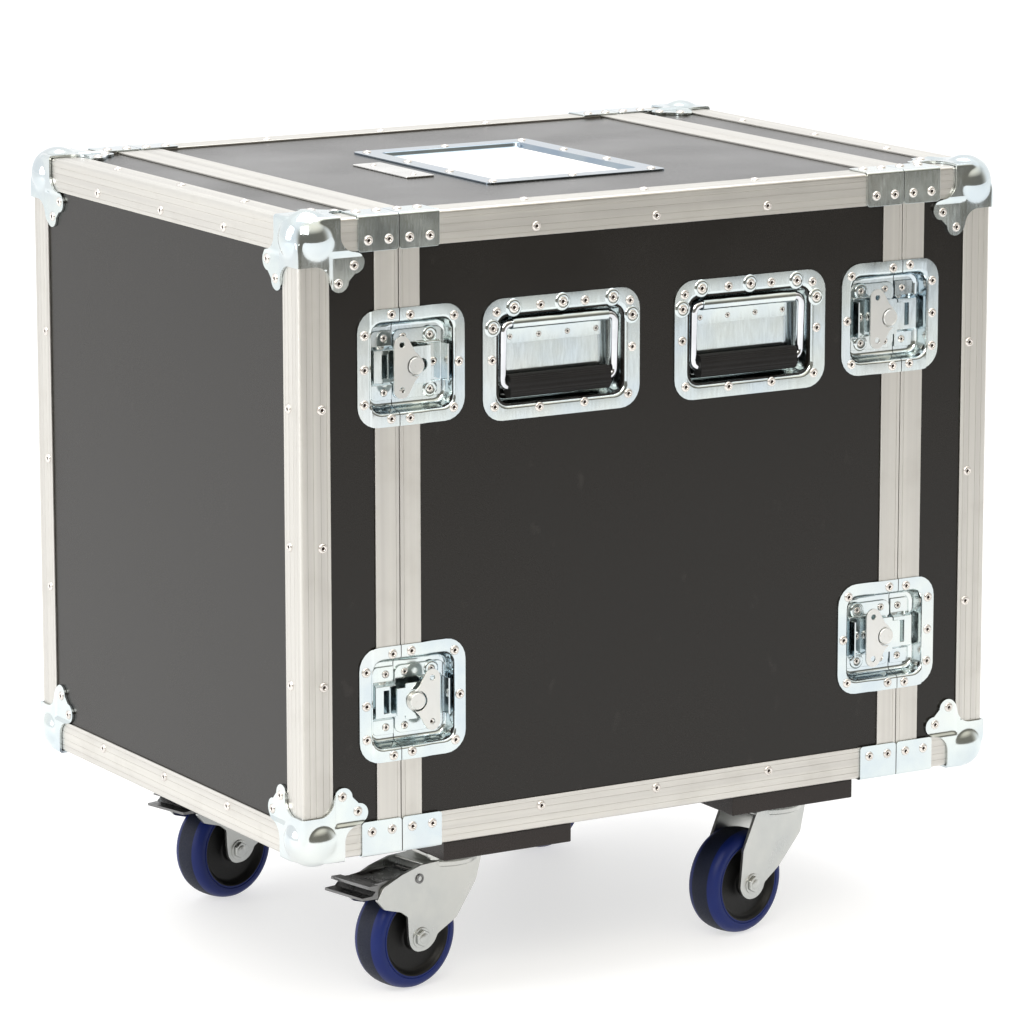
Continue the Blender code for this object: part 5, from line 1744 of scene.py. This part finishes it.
@dataclass
class Handles(Fitting):
    """Sprung handles in pressed dishes. Each is made level: X along the case, Y up, Z outwards."""

    height_on_case: float = 586.4 * MM
    from_middle: float = 100.7 * MM
    width: float = 164 * MM
    height: float = 110 * MM
    corner: float = 20 * MM
    recess_half: float = 64 * MM
    recess_top: float = 37.5 * MM
    recess_bottom: float = 39.5 * MM
    recess_corner: float = 9 * MM
    depth: float = 17 * MM
    flange_top: float = -0.3 * MM
    sheet: float = 1.2 * MM
    axis_up: float = 31.2 * MM
    axis_deep: float = 5.7 * MM
    roll_radius: float = 5.6 * MM
    roll_half: float = 50 * MM
    strip_foot: float = 11.2 * MM
    bar_radius: float = 4 * MM
    bar_half: float = 58.5 * MM
    bar_bend: float = 7 * MM
    drop: float = 57 * MM
    lean: float = 2 * MM
    grip_half: float = 52.5 * MM
    grip_height: float = 21 * MM
    grip_thickness: float = 14 * MM
    rib_depth: float = 0.045
    oval: float = 0.72
    ribs: int = 20
    raised: tuple[Point, ...] = ((-50.1, 46), (0.6, 47.3), (53.2, 46.9), (-71.9, 29), (73.8, 29.3))
    plain: tuple[Point, ...] = (
        (-67.7, 43.2), (-22.4, 46.3), (24.2, 46.4), (71.5, 42.5), (-72.6, 0.3), (73.9, 0.1),
        (-70, -41.8), (-23.5, -45.8), (23.5, -45.8), (70, -42.4),
    )
    floor_row: Point = (-45, -15, 15, 45)
    floor_rise: float = 17.3 * MM

    def dish(self) -> Piece:
        """Presses the dish, with raised rings under the rivets of its upper edge.

        Returns:
            The dish.
        """
        pressed = PressedDish(
            low=(-self.width / 2, -self.height / 2),
            high=(self.width / 2, self.height / 2),
            corner=self.corner,
            recess_low=(-self.recess_half, -self.recess_bottom),
            recess_high=(self.recess_half, self.recess_top),
            recess_corner=self.recess_corner,
            depth=self.depth,
            top=self.flange_top,
            lip=3 * MM,
        )
        dish = pressed.skin("handle_dish")
        BENCH.thicken(dish, self.sheet)
        parts = [dish]
        profile = [(4.2, 0.1), (4.6, 0.9), (5.8, 1.3), (7.2, 0.9), (8.2, 0), (8.2, -0.4), (4.2, -0.4)]
        ring = BENCH.turned("rivet_ring", profile, 32, closed=True)
        for x, y in in_mm(self.raised):
            parts.append(BENCH.copy(ring, "rivet_ring", Matrix.Translation((x, y, self.flange_top))))
        BENCH.discard(ring)
        return BENCH.finish(BENCH.join("handle_dish", parts), self.finishes.zinc, 50)

    def hinge(self) -> Piece:
        """Rolls the hinge plate: a strip on the dish's floor that stands out and wraps the bar.

        Returns:
            The hinge plate.
        """
        floor = -self.depth + 0.1 * MM
        centre = (self.axis_up, -self.axis_deep)
        low = self.axis_up - self.roll_radius
        line = [(self.strip_foot, floor + self.sheet), (low - 2.5 * MM, floor + self.sheet)]
        line += [(low - 0.7 * MM, floor + self.sheet + 0.7 * MM), (low, floor + self.sheet + 2.6 * MM)]
        line += arc(centre, self.roll_radius, 180, -60, 28)
        piece = BENCH.cut_sheet("hinge_roll", folded(line, self.sheet), -self.roll_half, 2 * self.roll_half)
        BENCH.place(piece, STAND_X)
        return BENCH.finish(piece, self.finishes.zinc, 35, 0.3 * MM, 2, 50)

    def bar(self) -> Piece:
        """Bends the round bar into its closed loop, leaning into the dish.

        Returns:
            The bar.
        """
        loop = face_rounded((-self.bar_half, -self.drop), (self.bar_half, 0), self.bar_bend, 8)
        slope = self.lean / self.drop
        points = [(x, y + self.axis_up, -self.axis_deep + y * slope) for x, y in loop]
        piece = BENCH.drawn("handle_bail", points + points[:1])
        bpy.ops.mesh.remove_doubles(threshold=0.001 * MM)
        BENCH.leave()
        bpy.ops.object.convert(target="CURVE")
        piece = bpy.context.active_object
        piece.data.bevel_depth = self.bar_radius
        piece.data.bevel_resolution = 4
        bpy.ops.object.convert(target="MESH")
        piece = bpy.context.active_object
        BENCH.enter()
        BENCH.outward()
        return BENCH.finish(piece, self.finishes.chrome, 60)

    def grip(self) -> Piece:
        """Moulds the rubber grip: an oval section with lengthwise ribs and rounded ends.

        Returns:
            The grip.
        """
        outline = []
        count = self.ribs * 8
        for i in range(count):
            angle = 2 * math.pi * i / count
            swell = 1 - self.rib_depth * (0.5 + 0.5 * math.cos(self.ribs * angle)) ** 3
            across, out = math.cos(angle), math.sin(angle)
            x = math.copysign(abs(across) ** self.oval, across) * self.grip_height / 2 * swell
            y = math.copysign(abs(out) ** self.oval, out) * self.grip_thickness / 2 * swell
            outline.append((x + self.axis_up - self.drop, y - self.axis_deep - self.lean))
        piece = BENCH.cut_sheet("handle_grip", outline, -self.grip_half, 2 * self.grip_half)
        for end, step in product((-self.grip_half, self.grip_half), (0.8 * MM, 0.25 * MM)):
            BENCH.pick_faces(piece, lambda at, out, end=end: abs(at.z - end) < MM / 100)
            bpy.ops.mesh.inset(thickness=step)
            BENCH.leave()
        BENCH.place(piece, STAND_X)
        return BENCH.finish(piece, self.finishes.grip, 40, 1.1 * MM, 3, 70)

    def build(self) -> None:
        """Places the four handles."""
        dish, hinge, bar, grip = self.dish(), self.hinge(), self.bar(), self.grip()
        across, deep, up = -self.from_middle, -CASE.half_y, self.height_on_case
        frame_at = Matrix(((1, 0, 0, across), (0, 0, -1, deep), (0, 1, 0, up), (0, 0, 0, 1)))
        for face, side in product(Face, Side):
            where = f"{face.word}_{side.word}"
            place = mirror(x=-side.value, y=-face.value) @ frame_at
            node, bail = f"handle_dish_{where}", f"bail_{where}"
            self.put(dish, f"pressed_handle_dish_{where}", place, "body", node)
            self.put(hinge, f"hinge_roll_{where}", place, "body", node)
            self.put(bar, f"chromed_bar_{where}", place, bail, f"handle_bail_{where}")
            self.put(grip, f"rubber_grip_{where}", place, bail, f"handle_bail_{where}")
            for spots, size in ((self.plain, 1), (self.raised, 1.1)):
                for x, y in in_mm(spots):
                    self.rivets.add("body", place, (x, y, self.flange_top), UP, size)
            for across in self.floor_row:
                at = (across * MM, self.floor_rise, self.sheet - self.depth)
                self.rivets.add("body", place, at, UP, 0.62)
        BENCH.discard(dish, hinge, bar, grip)


@dataclass
class Casters(Fitting):
    """Swivel casters, made with the swivel axis on Z and the wheel trailing to -X."""

    bolts_at: Flat = (31 * MM, 41 * MM)
    foot_drop: float = 80 * MM
    arch_height: float = 76 * MM
    arch_radius: float = 15.5 * MM
    hollow_low: Point = (-45 * MM, -14.5 * MM, 3.4 * MM)
    hollow_high: Point = (4 * MM, 14.5 * MM, 12 * MM)
    at: float = 179 * MM
    height: float = 133 * MM
    plate_x: float = 85 * MM
    plate_y: float = 105 * MM
    plate_sheet: float = 3 * MM
    crown_top: float = 118.2 * MM
    fork_inner: float = 20.3 * MM
    fork_wall: float = 3 * MM
    trail: float = 45 * MM
    wheel_radius: float = 50 * MM
    pin_trail: float = 47 * MM
    pin_height: float = 106 * MM
    pedal_half: float = 20 * MM
    lip_half: float = 26 * MM
    lip_start: float = 52 * MM
    plain_cheek: tuple[Point, ...] = (
        (-30, 0), (-22, -30), (8, -58), (28, -70), (33, -83), (57, -83), (62, -70), (58, -34), (40, 0),
    )
    braked_cheek: tuple[Point, ...] = (
        (-30, 0), (-22, -26), (2, -57), (25, -68), (32, -81), (57, -81), (60, -64), (61, -46),
        (69, -40), (89, -34), (98, -24), (90, -13), (68, -5), (45, 0),
    )
    pedal_side: tuple[Flat, ...] = (
        (-10, 0), (14, 0), (55, -6), (71, -5), (71, -2.6), (59, -2.6), (55, 1), (64, 4.5),
        (63, 6.9), (47, 6), (22, 7.5), (-8, 7.5),
    )
    swivel: dict[str, float] = field(
        default_factory=lambda: {
            "front_left": 11.6, "front_right": 14.6, "back_left": 13.8, "back_right": 13.0,
        }
    )

    def top_plate(self) -> Piece:
        """Top plate with its bearing head, kingpin and four bolts.

        Returns:
            The top plate.
        """
        half_x, half_y = self.plate_x / 2, self.plate_y / 2
        outline = face_rounded((-half_x, -half_y), (half_x, half_y), 6 * MM, 6)
        plate = BENCH.cut_sheet("caster_top_plate", outline, self.height - self.plate_sheet, self.plate_sheet)
        profile = [(0, 109.4), (8.6, 109.4), (10, 110.2), (10, 111.9), (6, 111.9), (6, 123), (25.5, 123)]
        profile += [(28, 123.6), (29.6, 125), (30.2, 127.5), (31.4, 129.4), (33.5, 130.2)]
        profile += [(33.5, 131), (0, 131)]
        parts = [plate, BENCH.turned("bearing_head", profile, 48)]
        under = self.height - self.plate_sheet
        across, along = self.bolts_at
        for x, y in product((-across, across), (-along, along)):
            bolt = BENCH.rod("bolt", (x, y, under - 4.6 * MM), (x, y, under + 0.2 * MM), 6.6 * MM, 6)
            BENCH.soften(bolt, 0.7 * MM, 2, 50)
            parts.append(bolt)
        for part in parts[:2]:
            BENCH.soften(part, 0.4 * MM, 2, 60)
        piece = BENCH.join("caster_top_plate", parts)
        return BENCH.finish(piece, self.finishes.fork, 40)

    def cheek(self, side: Sequence[Point]) -> Piece:
        """Cuts one cheek, rounds its corners and stands it on the near side of the fork.

        Args:
            side: Its outline from the side, as (trail, height) in millimetres.

        Returns:
            The cheek.
        """
        outline = [(-trail * MM, self.crown_top + below * MM) for trail, below in side]
        piece = BENCH.cut_sheet("cheek", outline, self.fork_inner, self.fork_wall)
        near = 0.01 * MM
        top, foot = self.crown_top, self.crown_top - self.foot_drop

        def foot_corner(a: Vector, b: Vector) -> bool:
            """Whether an edge is one of the two lowest corners."""
            return (a.xy - b.xy).length < near and a.y < foot

        def other_corner(a: Vector, b: Vector) -> bool:
            """Whether an edge is a corner between the foot and the crown."""
            return (a.xy - b.xy).length < near and foot < a.y < top - near and a.y > foot + 4 * MM

        for test, width in ((foot_corner, 10.5 * MM), (other_corner, 7 * MM)):
            BENCH.round_edges(piece, test, width, 6, clamp=True)
        BENCH.soften(piece, 0.8 * MM, 3, 60)
        return BENCH.place(piece, STAND_Y)

    def fork(self, braked: bool) -> Piece:
        """Fork: a saddle over the race, two cheeks, a front web, the axle and the brake pin.

        Args:
            braked: Whether it carries a brake pedal.

        Returns:
            The fork.
        """
        side = self.braked_cheek if braked else self.plain_cheek
        cheek = self.cheek(side)
        outer = self.fork_inner + self.fork_wall
        back = -self.trail + (6 if braked else 4) * MM
        low = (back, -outer + 0.1 * MM, self.crown_top - 3.2 * MM)
        saddle = BENCH.block("saddle", low, (29.6 * MM, outer - 0.1 * MM, self.crown_top + 0.1 * MM))
        BENCH.soften(saddle, 1.4 * MM, 4, 60)
        BENCH.bore(saddle, (0, 0, 100 * MM), (0, 0, 130 * MM), 8 * MM, 32)
        edge = [(trail, below) for trail, below in side if below >= -30]
        trail, below = edge[1]
        line = [(-edge[0][0], 0), (-trail, below), (-trail - 11, below - 13)]
        web_line = [(x * MM, self.crown_top + z * MM) for x, z in line]
        half = self.fork_inner + 0.4 * MM
        web = BENCH.cut_sheet("front_web", folded(web_line, 2.6 * MM), -half, 2 * half)
        BENCH.place(web, STAND_Y)
        start, end = (-10 * MM, 0, self.arch_height), (60 * MM, 0, self.arch_height)
        arch = BENCH.rod("arch", start, end, self.arch_radius, 40)
        BENCH.carve(web, arch)
        profile = [(6.8, 112.2), (31, 112.2), (33, 113.6), (33, 117), (31.5, 118.4), (26, 119)]
        profile += [(24, 121), (21.5, 122.7), (6.8, 122.7)]
        crown = BENCH.turned("crown", profile, 48, closed=True)
        parts = [cheek, BENCH.copy(cheek, "cheek_far", Matrix.Diagonal((1, -1, 1, 1))), saddle, web, crown]
        BENCH.bore(crown, (0, 0, 80 * MM), (0, 0, 130 * MM), 6.8 * MM, 32)
        x, z = -self.trail, self.wheel_radius
        parts.append(BENCH.rod("axle", (x, -outer, z), (x, outer, z), 6 * MM, 32))
        for way in (-1, 1):
            profile = [(0, -0.3), (9.8, -0.3), (9.8, 0.7), (9.3, 1.1), (7.6, 1.1), (0, 1.1)]
            washer = BENCH.turned("washer", profile, 32)
            nut = BENCH.rod("axle_nut", (0, 0, 1 * MM), (0, 0, 4 * MM), 8.2 * MM, 6)
            BENCH.soften(nut, 0.9 * MM, 3, 50)
            dome = BENCH.turned("axle_end", [(0, 3.2), (5, 3.2), (5, 4.2), (4.2, 4.8), (0, 5.2)], 24)
            nut = BENCH.join("axle_nut", [washer, nut, dome])
            parts.append(BENCH.place(nut, self.outward_of(way, x, z)))
        piece = BENCH.dress(BENCH.join("caster_fork", parts), self.finishes.fork)
        if braked:
            pins = [self.brake_pin(way) for way in (-1, 1)]
            piece = BENCH.join("caster_fork", [piece, *pins])
        BENCH.smooth(piece, 40)
        return piece

    def outward_of(self, way: int, x: float, z: float) -> Matrix:
        """Takes an upright turned part to the outside of a cheek: way along Y, x, and height z."""
        outer = self.fork_inner + self.fork_wall
        return Matrix.Translation((x, way * outer, z)) @ Matrix.Rotation(math.radians(-90 * way), 4, "X")

    def brake_pin(self, way: int) -> Piece:
        """Turns the pin that carries the pedal in one cheek, with its bright end.

        Args:
            way: Side of the fork, along Y.

        Returns:
            The pin in its place.
        """
        profile = [(0, -24), (3, -24), (3, 0), (4.6, 0), (4.6, 0.9), (4.1, 1.4), (2.6, 1.5)]
        profile += [(2.3, 0.8), (0, 0.8)]
        pin = BENCH.dress(BENCH.turned("brake_pin", profile, 28), self.finishes.pedal)
        BENCH.paint(pin, self.finishes.fork, lambda at, out: at.xy.length < 2.3 * MM and at.z > 0.5 * MM)
        return BENCH.place(pin, self.outward_of(way, -self.pin_trail, self.pin_height))

    def wheel(self) -> Piece:
        """Turns the wheel round its axle: hub, dished rim, sidewall ring and crowned tread.

        Returns:
            The wheel.
        """
        half = [(6.3, 19.4), (6.9, 20), (11.6, 20), (13, 18.6), (13.2, 13.6), (15, 12.2), (30.5, 11.6)]
        half += [(33, 12.6), (34.8, 15.6), (36, 17.4), (37.2, 17.9), (38.2, 17.7), (38.5, 17.1)]
        half += [(39.1, 17.1), (39.6, 17.9)]
        half += [(42, 18), (44.4, 17.4), (46.6, 15.6), (48.3, 12.9), (49.3, 9.4), (49.8, 5.5)]
        profile = [(radius, -across) for radius, across in half] + [(50, 0)]
        profile += [(radius, across) for radius, across in reversed(half)]
        piece = BENCH.turned("caster_wheel", profile, 96, closed=True)
        BENCH.dress(piece, self.finishes.rim)
        BENCH.paint(piece, self.finishes.tyre, lambda at, out: at.xy.length > 36.9 * MM)
        BENCH.paint(piece, self.finishes.tread, lambda at, out: at.xy.length > 49.4 * MM)
        BENCH.smooth(piece, 40)
        turn = Matrix.Rotation(math.radians(90), 4, "X")
        return BENCH.place(piece, Matrix.Translation((-self.trail, 0, self.wheel_radius)) @ turn)

    def pedal(self) -> Piece:
        """Stamps the brake pedal: a waisted lever with a pressed hollow and two wider lips.

        Returns:
            The pedal.
        """
        bottom = -2.5 * MM
        outline = [(-trail * MM, bottom + up * MM) for trail, up in self.pedal_side]
        lever = BENCH.cut_sheet("brake_pedal", outline, -self.pedal_half, 2 * self.pedal_half)
        BENCH.place(lever, STAND_Y)
        lips = BENCH.cut_sheet("lips", outline, -self.lip_half, 2 * self.lip_half)
        BENCH.place(lips, STAND_Y)
        room = 90 * MM
        BENCH.carve(lips, BENCH.block("trim", (-self.lip_start, -room, -room), (room, room, room)))
        BENCH.carve(lever, lips, "UNION")
        hollow = BENCH.block("hollow", self.hollow_low, self.hollow_high)
        BENCH.soften(hollow, 3.2 * MM, 4, 60)
        BENCH.carve(lever, hollow)
        BENCH.bore(lever, (0, -60 * MM, 0), (0, 60 * MM, 0), 3.8 * MM, 24)
        BENCH.finish(lever, self.finishes.pedal, 45, 0.8 * MM, 3, 35)
        return BENCH.place(lever, Matrix.Translation((-self.pin_trail, 0, self.pin_height)))

    def boards(self) -> None:
        """Planes the two caster boards, with eased edges and the casters' bolt ends out of sight."""
        for side in Side:
            low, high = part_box(f"caster_board_{side.word}")
            board = BENCH.block(f"eased_caster_board_{side.word}", low, high)
            BENCH.finish(board, self.finishes.board, 40, 1.2 * MM, 3, 40)
            self.stands_for(board, "body", f"caster_board_{side.word}")

    def build(self) -> None:
        """Places the four casters and the boards above them."""
        self.boards()
        plate, wheel, pedal = self.top_plate(), self.wheel(), self.pedal()
        forks = {Side.LEFT: self.fork(braked=True), Side.RIGHT: self.fork(braked=False)}
        for face, side in product(Face, Side):
            where = f"{face.word}_{side.word}"
            centre = Matrix.Translation((side.value * self.at, face.value * self.at, 0))
            turned = centre @ Matrix.Rotation(math.radians(self.swivel[where]), 4, "Z")
            self.put(plate, f"top_plate_{where}", centre, "body", f"caster_plate_{where}")
            self.put(forks[side], f"pressed_fork_{where}", turned, f"fork_{where}", f"caster_fork_{where}")
            self.put(wheel, f"blue_wheel_{where}", turned, f"wheel_{where}", f"caster_wheel_{where}")
            if side is Side.LEFT:
                self.put(pedal, f"stamped_pedal_{where}", turned, f"pedal_{where}", f"brake_pedal_{where}")
        BENCH.discard(plate, wheel, pedal, *forks.values())


@dataclass
class TopFittings(Fitting):
    """Label dish with its card, and the bare plate beside it."""

    width: float = 192 * MM
    length: float = 255 * MM
    border: float = 21 * MM
    depth: float = 5 * MM
    corner: float = 6 * MM
    centre: Flat = (-5 * MM, -7 * MM)
    card_sheet: float = 0.5 * MM
    plate_low: Flat = (-144.5 * MM, -61 * MM)
    plate_high: Flat = (-114.5 * MM, 42 * MM)
    side_rivets: float = 39 * MM
    plate_rivets: float = 14 * MM

    def label(self) -> None:
        """Builds the pressed dish, its card and its rivets."""
        half_x, half_y = self.width / 2, self.length / 2
        inner_x, inner_y = half_x - self.border, half_y - self.border
        pressed = PressedDish(
            low=(-half_x, -half_y),
            high=(half_x, half_y),
            corner=self.corner,
            recess_low=(-inner_x, -inner_y),
            recess_high=(inner_x, inner_y),
            recess_corner=4.8 * MM,
            depth=self.depth,
            top=-0.3 * MM,
            lip=1.2 * MM,
            floor_bend=1.2 * MM,
            draft=0.3 * MM,
        )
        dish = pressed.skin("pressed_label_dish")
        BENCH.thicken(dish, 1.2 * MM)
        BENCH.finish(dish, self.finishes.label_zinc, 50)
        place = Matrix.Translation((*self.centre, CASE.top))
        self.stands_for(BENCH.place(dish, place), "body", "label_dish")
        rim = 3.2 * MM
        outline = face_rounded((rim - inner_x, rim - inner_y), (inner_x - rim, inner_y - rim), 2.5 * MM, 4)
        card = BENCH.cut_sheet("label_card", outline, -self.depth - 0.1 * MM, self.card_sheet)
        BENCH.soften(card, 0.12 * MM, 2, 60)
        BENCH.dress(card, self.finishes.card)
        self.stands_for(BENCH.place(card, place), "body")
        edge = self.border / 2
        spots = list(product((edge - half_x, 0, half_x - edge), (edge - half_y, half_y - edge)))
        spots += product((edge - half_x, half_x - edge), (-self.side_rivets, self.side_rivets))
        for x, y in spots:
            self.rivets.add("body", place, (x, y, -0.3 * MM), UP, 0.95)

    def bare_plate(self) -> None:
        """Builds the small plate beside the dish."""
        (left, front), (right, back) = self.plate_low, self.plate_high
        outline = face_rounded(self.plate_low, self.plate_high, 2 * MM, 4)
        plate = BENCH.cut_sheet("bare_plate", outline, CASE.top - 1.6 * MM, 1.3 * MM)
        BENCH.finish(plate, self.finishes.plate, 40, 0.3 * MM, 2, 60)
        self.stands_for(plate, "body")
        for y in (front + self.plate_rivets, back - self.plate_rivets):
            at = ((left + right) / 2, y, CASE.top - 0.3 * MM)
            self.rivets.add("body", Matrix.Identity(4), at, UP, 0.7)

    def build(self) -> None:
        """Builds both fittings on the top panel."""
        self.label()
        self.bare_plate()


@dataclass
class RackRails(Fitting):
    """Rack rails with a row of screw holes, made for the front left corner."""

    face_x: float = -210 * MM
    leg: float = 32 * MM
    flange: float = 27 * MM
    wall: float = 2 * MM
    from_face: float = 9.3 * MM
    hole_y: float = 232.55 * MM
    hole_radius: float = 3.2 * MM
    units: int = 12
    unit: float = 44.45 * MM
    hole_steps: tuple[float, ...] = (6.35 * MM, 22.225 * MM, 38.1 * MM)

    def build(self) -> None:
        """Bends the rail, drills it and places the four copies."""
        x, y = self.face_x, -CASE.half_y + self.from_face
        low, high = CASE.bottom + self.from_face, CASE.top - self.from_face
        bend, tight = 2.4 * MM, 0.7 * MM
        line = [(x + self.leg, y), (x + bend, y), (x + tight, y + tight), (x, y + bend), (x, y + self.flange)]
        rail = BENCH.cut_sheet("rack_rail", folded(line, -self.wall), low, high - low)
        first = (low + high - self.units * self.unit) / 2
        drills = []
        for unit, step in product(range(self.units), self.hole_steps):
            z = first + unit * self.unit + step
            start, end = (x - 5 * MM, -self.hole_y, z), (x + 8 * MM, -self.hole_y, z)
            drills.append(BENCH.rod("drill", start, end, self.hole_radius, 16))
        BENCH.carve(rail, BENCH.join("drills", drills))
        BENCH.finish(rail, self.finishes.rail, 40)
        for face, side in product(Face, Side):
            node = f"rack_rail_{side.word}_{face.word}"
            self.put(rail, f"drilled_{node}", mirror(x=-side.value, y=-face.value), "body", node)
        BENCH.discard(rail)


FITTINGS: list[type[Fitting]] = [
    LidShells, EdgeAngles, ClosingProfiles, BallCorners, Latches, Handles, Casters, TopFittings, RackRails,
]


@dataclass
class Studio:
    """Pale floor, soft lights and the camera at the photograph's angle."""

    place: Point = (-2.4974, -4.1922, 1.3746)
    down: float = 11.43
    yaw: float = 30.79
    roll: float = 0.06
    lens: float = 183.7
    shift: Flat = (0.0039, -0.002)
    dark_room: float = 0.22
    pale_room: float = 1.12
    overhead: float = 1.25
    warm_front: Point = (1, 0.93, 0.79)
    warm_lamp: Point = (1, 0.965, 0.90)
    room_turn: Flat = (-0.75, -0.05)
    overhead_turn: Flat = (0.2, 0.75)
    floor_glow: float = 0.62
    floor_edge: float = -3.55
    middle: Point = (0, 0, 0.4)

    def floor(self) -> None:
        """Lays a wide pale floor; metal doesn't mirror its far front half, as in the photograph's room."""
        material = bpy.data.materials.new("pale_floor")
        material.use_nodes = True
        shader = material.node_tree.nodes["Principled BSDF"]
        shader.inputs["Base Color"].default_value = (0.42, 0.42, 0.42, 1)
        shader.inputs["Emission Color"].default_value = (1, 1, 1, 1)
        shader.inputs["Emission Strength"].default_value = self.floor_glow
        shader.inputs["Roughness"].default_value = 0.6
        for name, start, end in (("floor", self.floor_edge, 30), ("front_floor", -30, self.floor_edge)):
            floor = BENCH.block(name, (-30, start, -0.2), (30, end, -0.0002))
            BENCH.dress(floor, material)
        floor.visible_glossy = False

    def softbox(self, name: str, at: Point, size: Flat, power: float, colour: Point = (1, 1, 1)) -> None:
        """Hangs a rectangular soft light that faces the middle of the case.

        Args:
            name: Name of the light.
            at: Its middle.
            size: Width and height in metres.
            power: Power in watts.
            colour: Colour of its light.
        """
        light = bpy.data.lights.new(name, "AREA")
        light.shape = "RECTANGLE"
        light.size, light.size_y = size
        light.energy = power
        light.color = colour
        lamp = bpy.data.objects.new(name, light)
        lamp.location = at
        lamp.rotation_euler = (Vector(self.middle) - Vector(at)).to_track_quat("-Z", "Y").to_euler()
        bpy.context.scene.collection.objects.link(lamp)

    def light(self) -> None:
        """Sets the surroundings, pale behind and overhead and warmer in front, and the soft lights."""
        world = bpy.data.worlds.new("studio_world")
        world.use_nodes = True
        wiring = Wiring(world.node_tree)
        backdrop = wiring.nodes["Background"]
        where = wiring.nodes.new("ShaderNodeTexCoord").outputs["Generated"]
        y = wiring.node("SeparateXYZ", "Y", {"Vector": where})
        z = wiring.node("SeparateXYZ", "Z", {"Vector": where})
        eased = {"interpolation_type": "SMOOTHSTEP"}
        room = wiring.band(y, *self.room_turn, self.dark_room, self.pale_room, **eased)
        above = wiring.band(z, *self.overhead_turn, 0, self.overhead, **eased)
        strength = wiring.node("Math", "Value", {0: room, 1: above}, operation="MAXIMUM")
        wiring.links.new(strength, backdrop.inputs["Strength"])
        tint = wiring.tint(wiring.band(y, *self.room_turn, 0, 1, **eased), self.warm_front, (1, 1, 1))
        wiring.links.new(tint, backdrop.inputs["Color"])
        bpy.context.scene.world = world
        self.softbox("key_light", (-2.2, -3.0, 3.2), (2.2, 2.2), 90, self.warm_lamp)
        self.softbox("top_light", (0.3, 0.2, 3.6), (3.0, 3.0), 60)
        self.softbox("side_light", (-3.4, 0.8, 1.6), (1.4, 2.2), 30)

    def camera(self) -> None:
        """Stands the camera where the photograph was taken."""
        lens = bpy.data.cameras.new("photo_camera")
        lens.lens = self.lens
        lens.sensor_width = 36
        lens.shift_x, lens.shift_y = self.shift
        lens.dof.use_dof = False
        lens.clip_end = 200
        camera = bpy.data.objects.new("photo_camera", lens)
        camera.location = self.place
        turns = (math.radians(90 - self.down), math.radians(self.roll), math.radians(-self.yaw))
        camera.rotation_euler = turns
        bpy.context.scene.collection.objects.link(camera)
        bpy.context.scene.camera = camera

    def build(self) -> None:
        """Sets up the whole studio."""
        bpy.context.scene.view_settings.view_transform = "Standard"
        self.floor()
        self.light()
        self.camera()
        LOG.info("set up the studio")


def main() -> None:
    """Builds every fitting round the frame, then the studio."""
    logging.basicConfig(level=logging.INFO)
    BENCH.clear()
    finishes = Finishes()
    rivets = Rivets(finishes)
    Panels(finishes, rivets).dress()
    for fitting in FITTINGS:
        fitting(finishes, rivets).build()
    rivets.build()
    Studio().build()
    BENCH.clear()


if __name__ == "__main__":
    main()
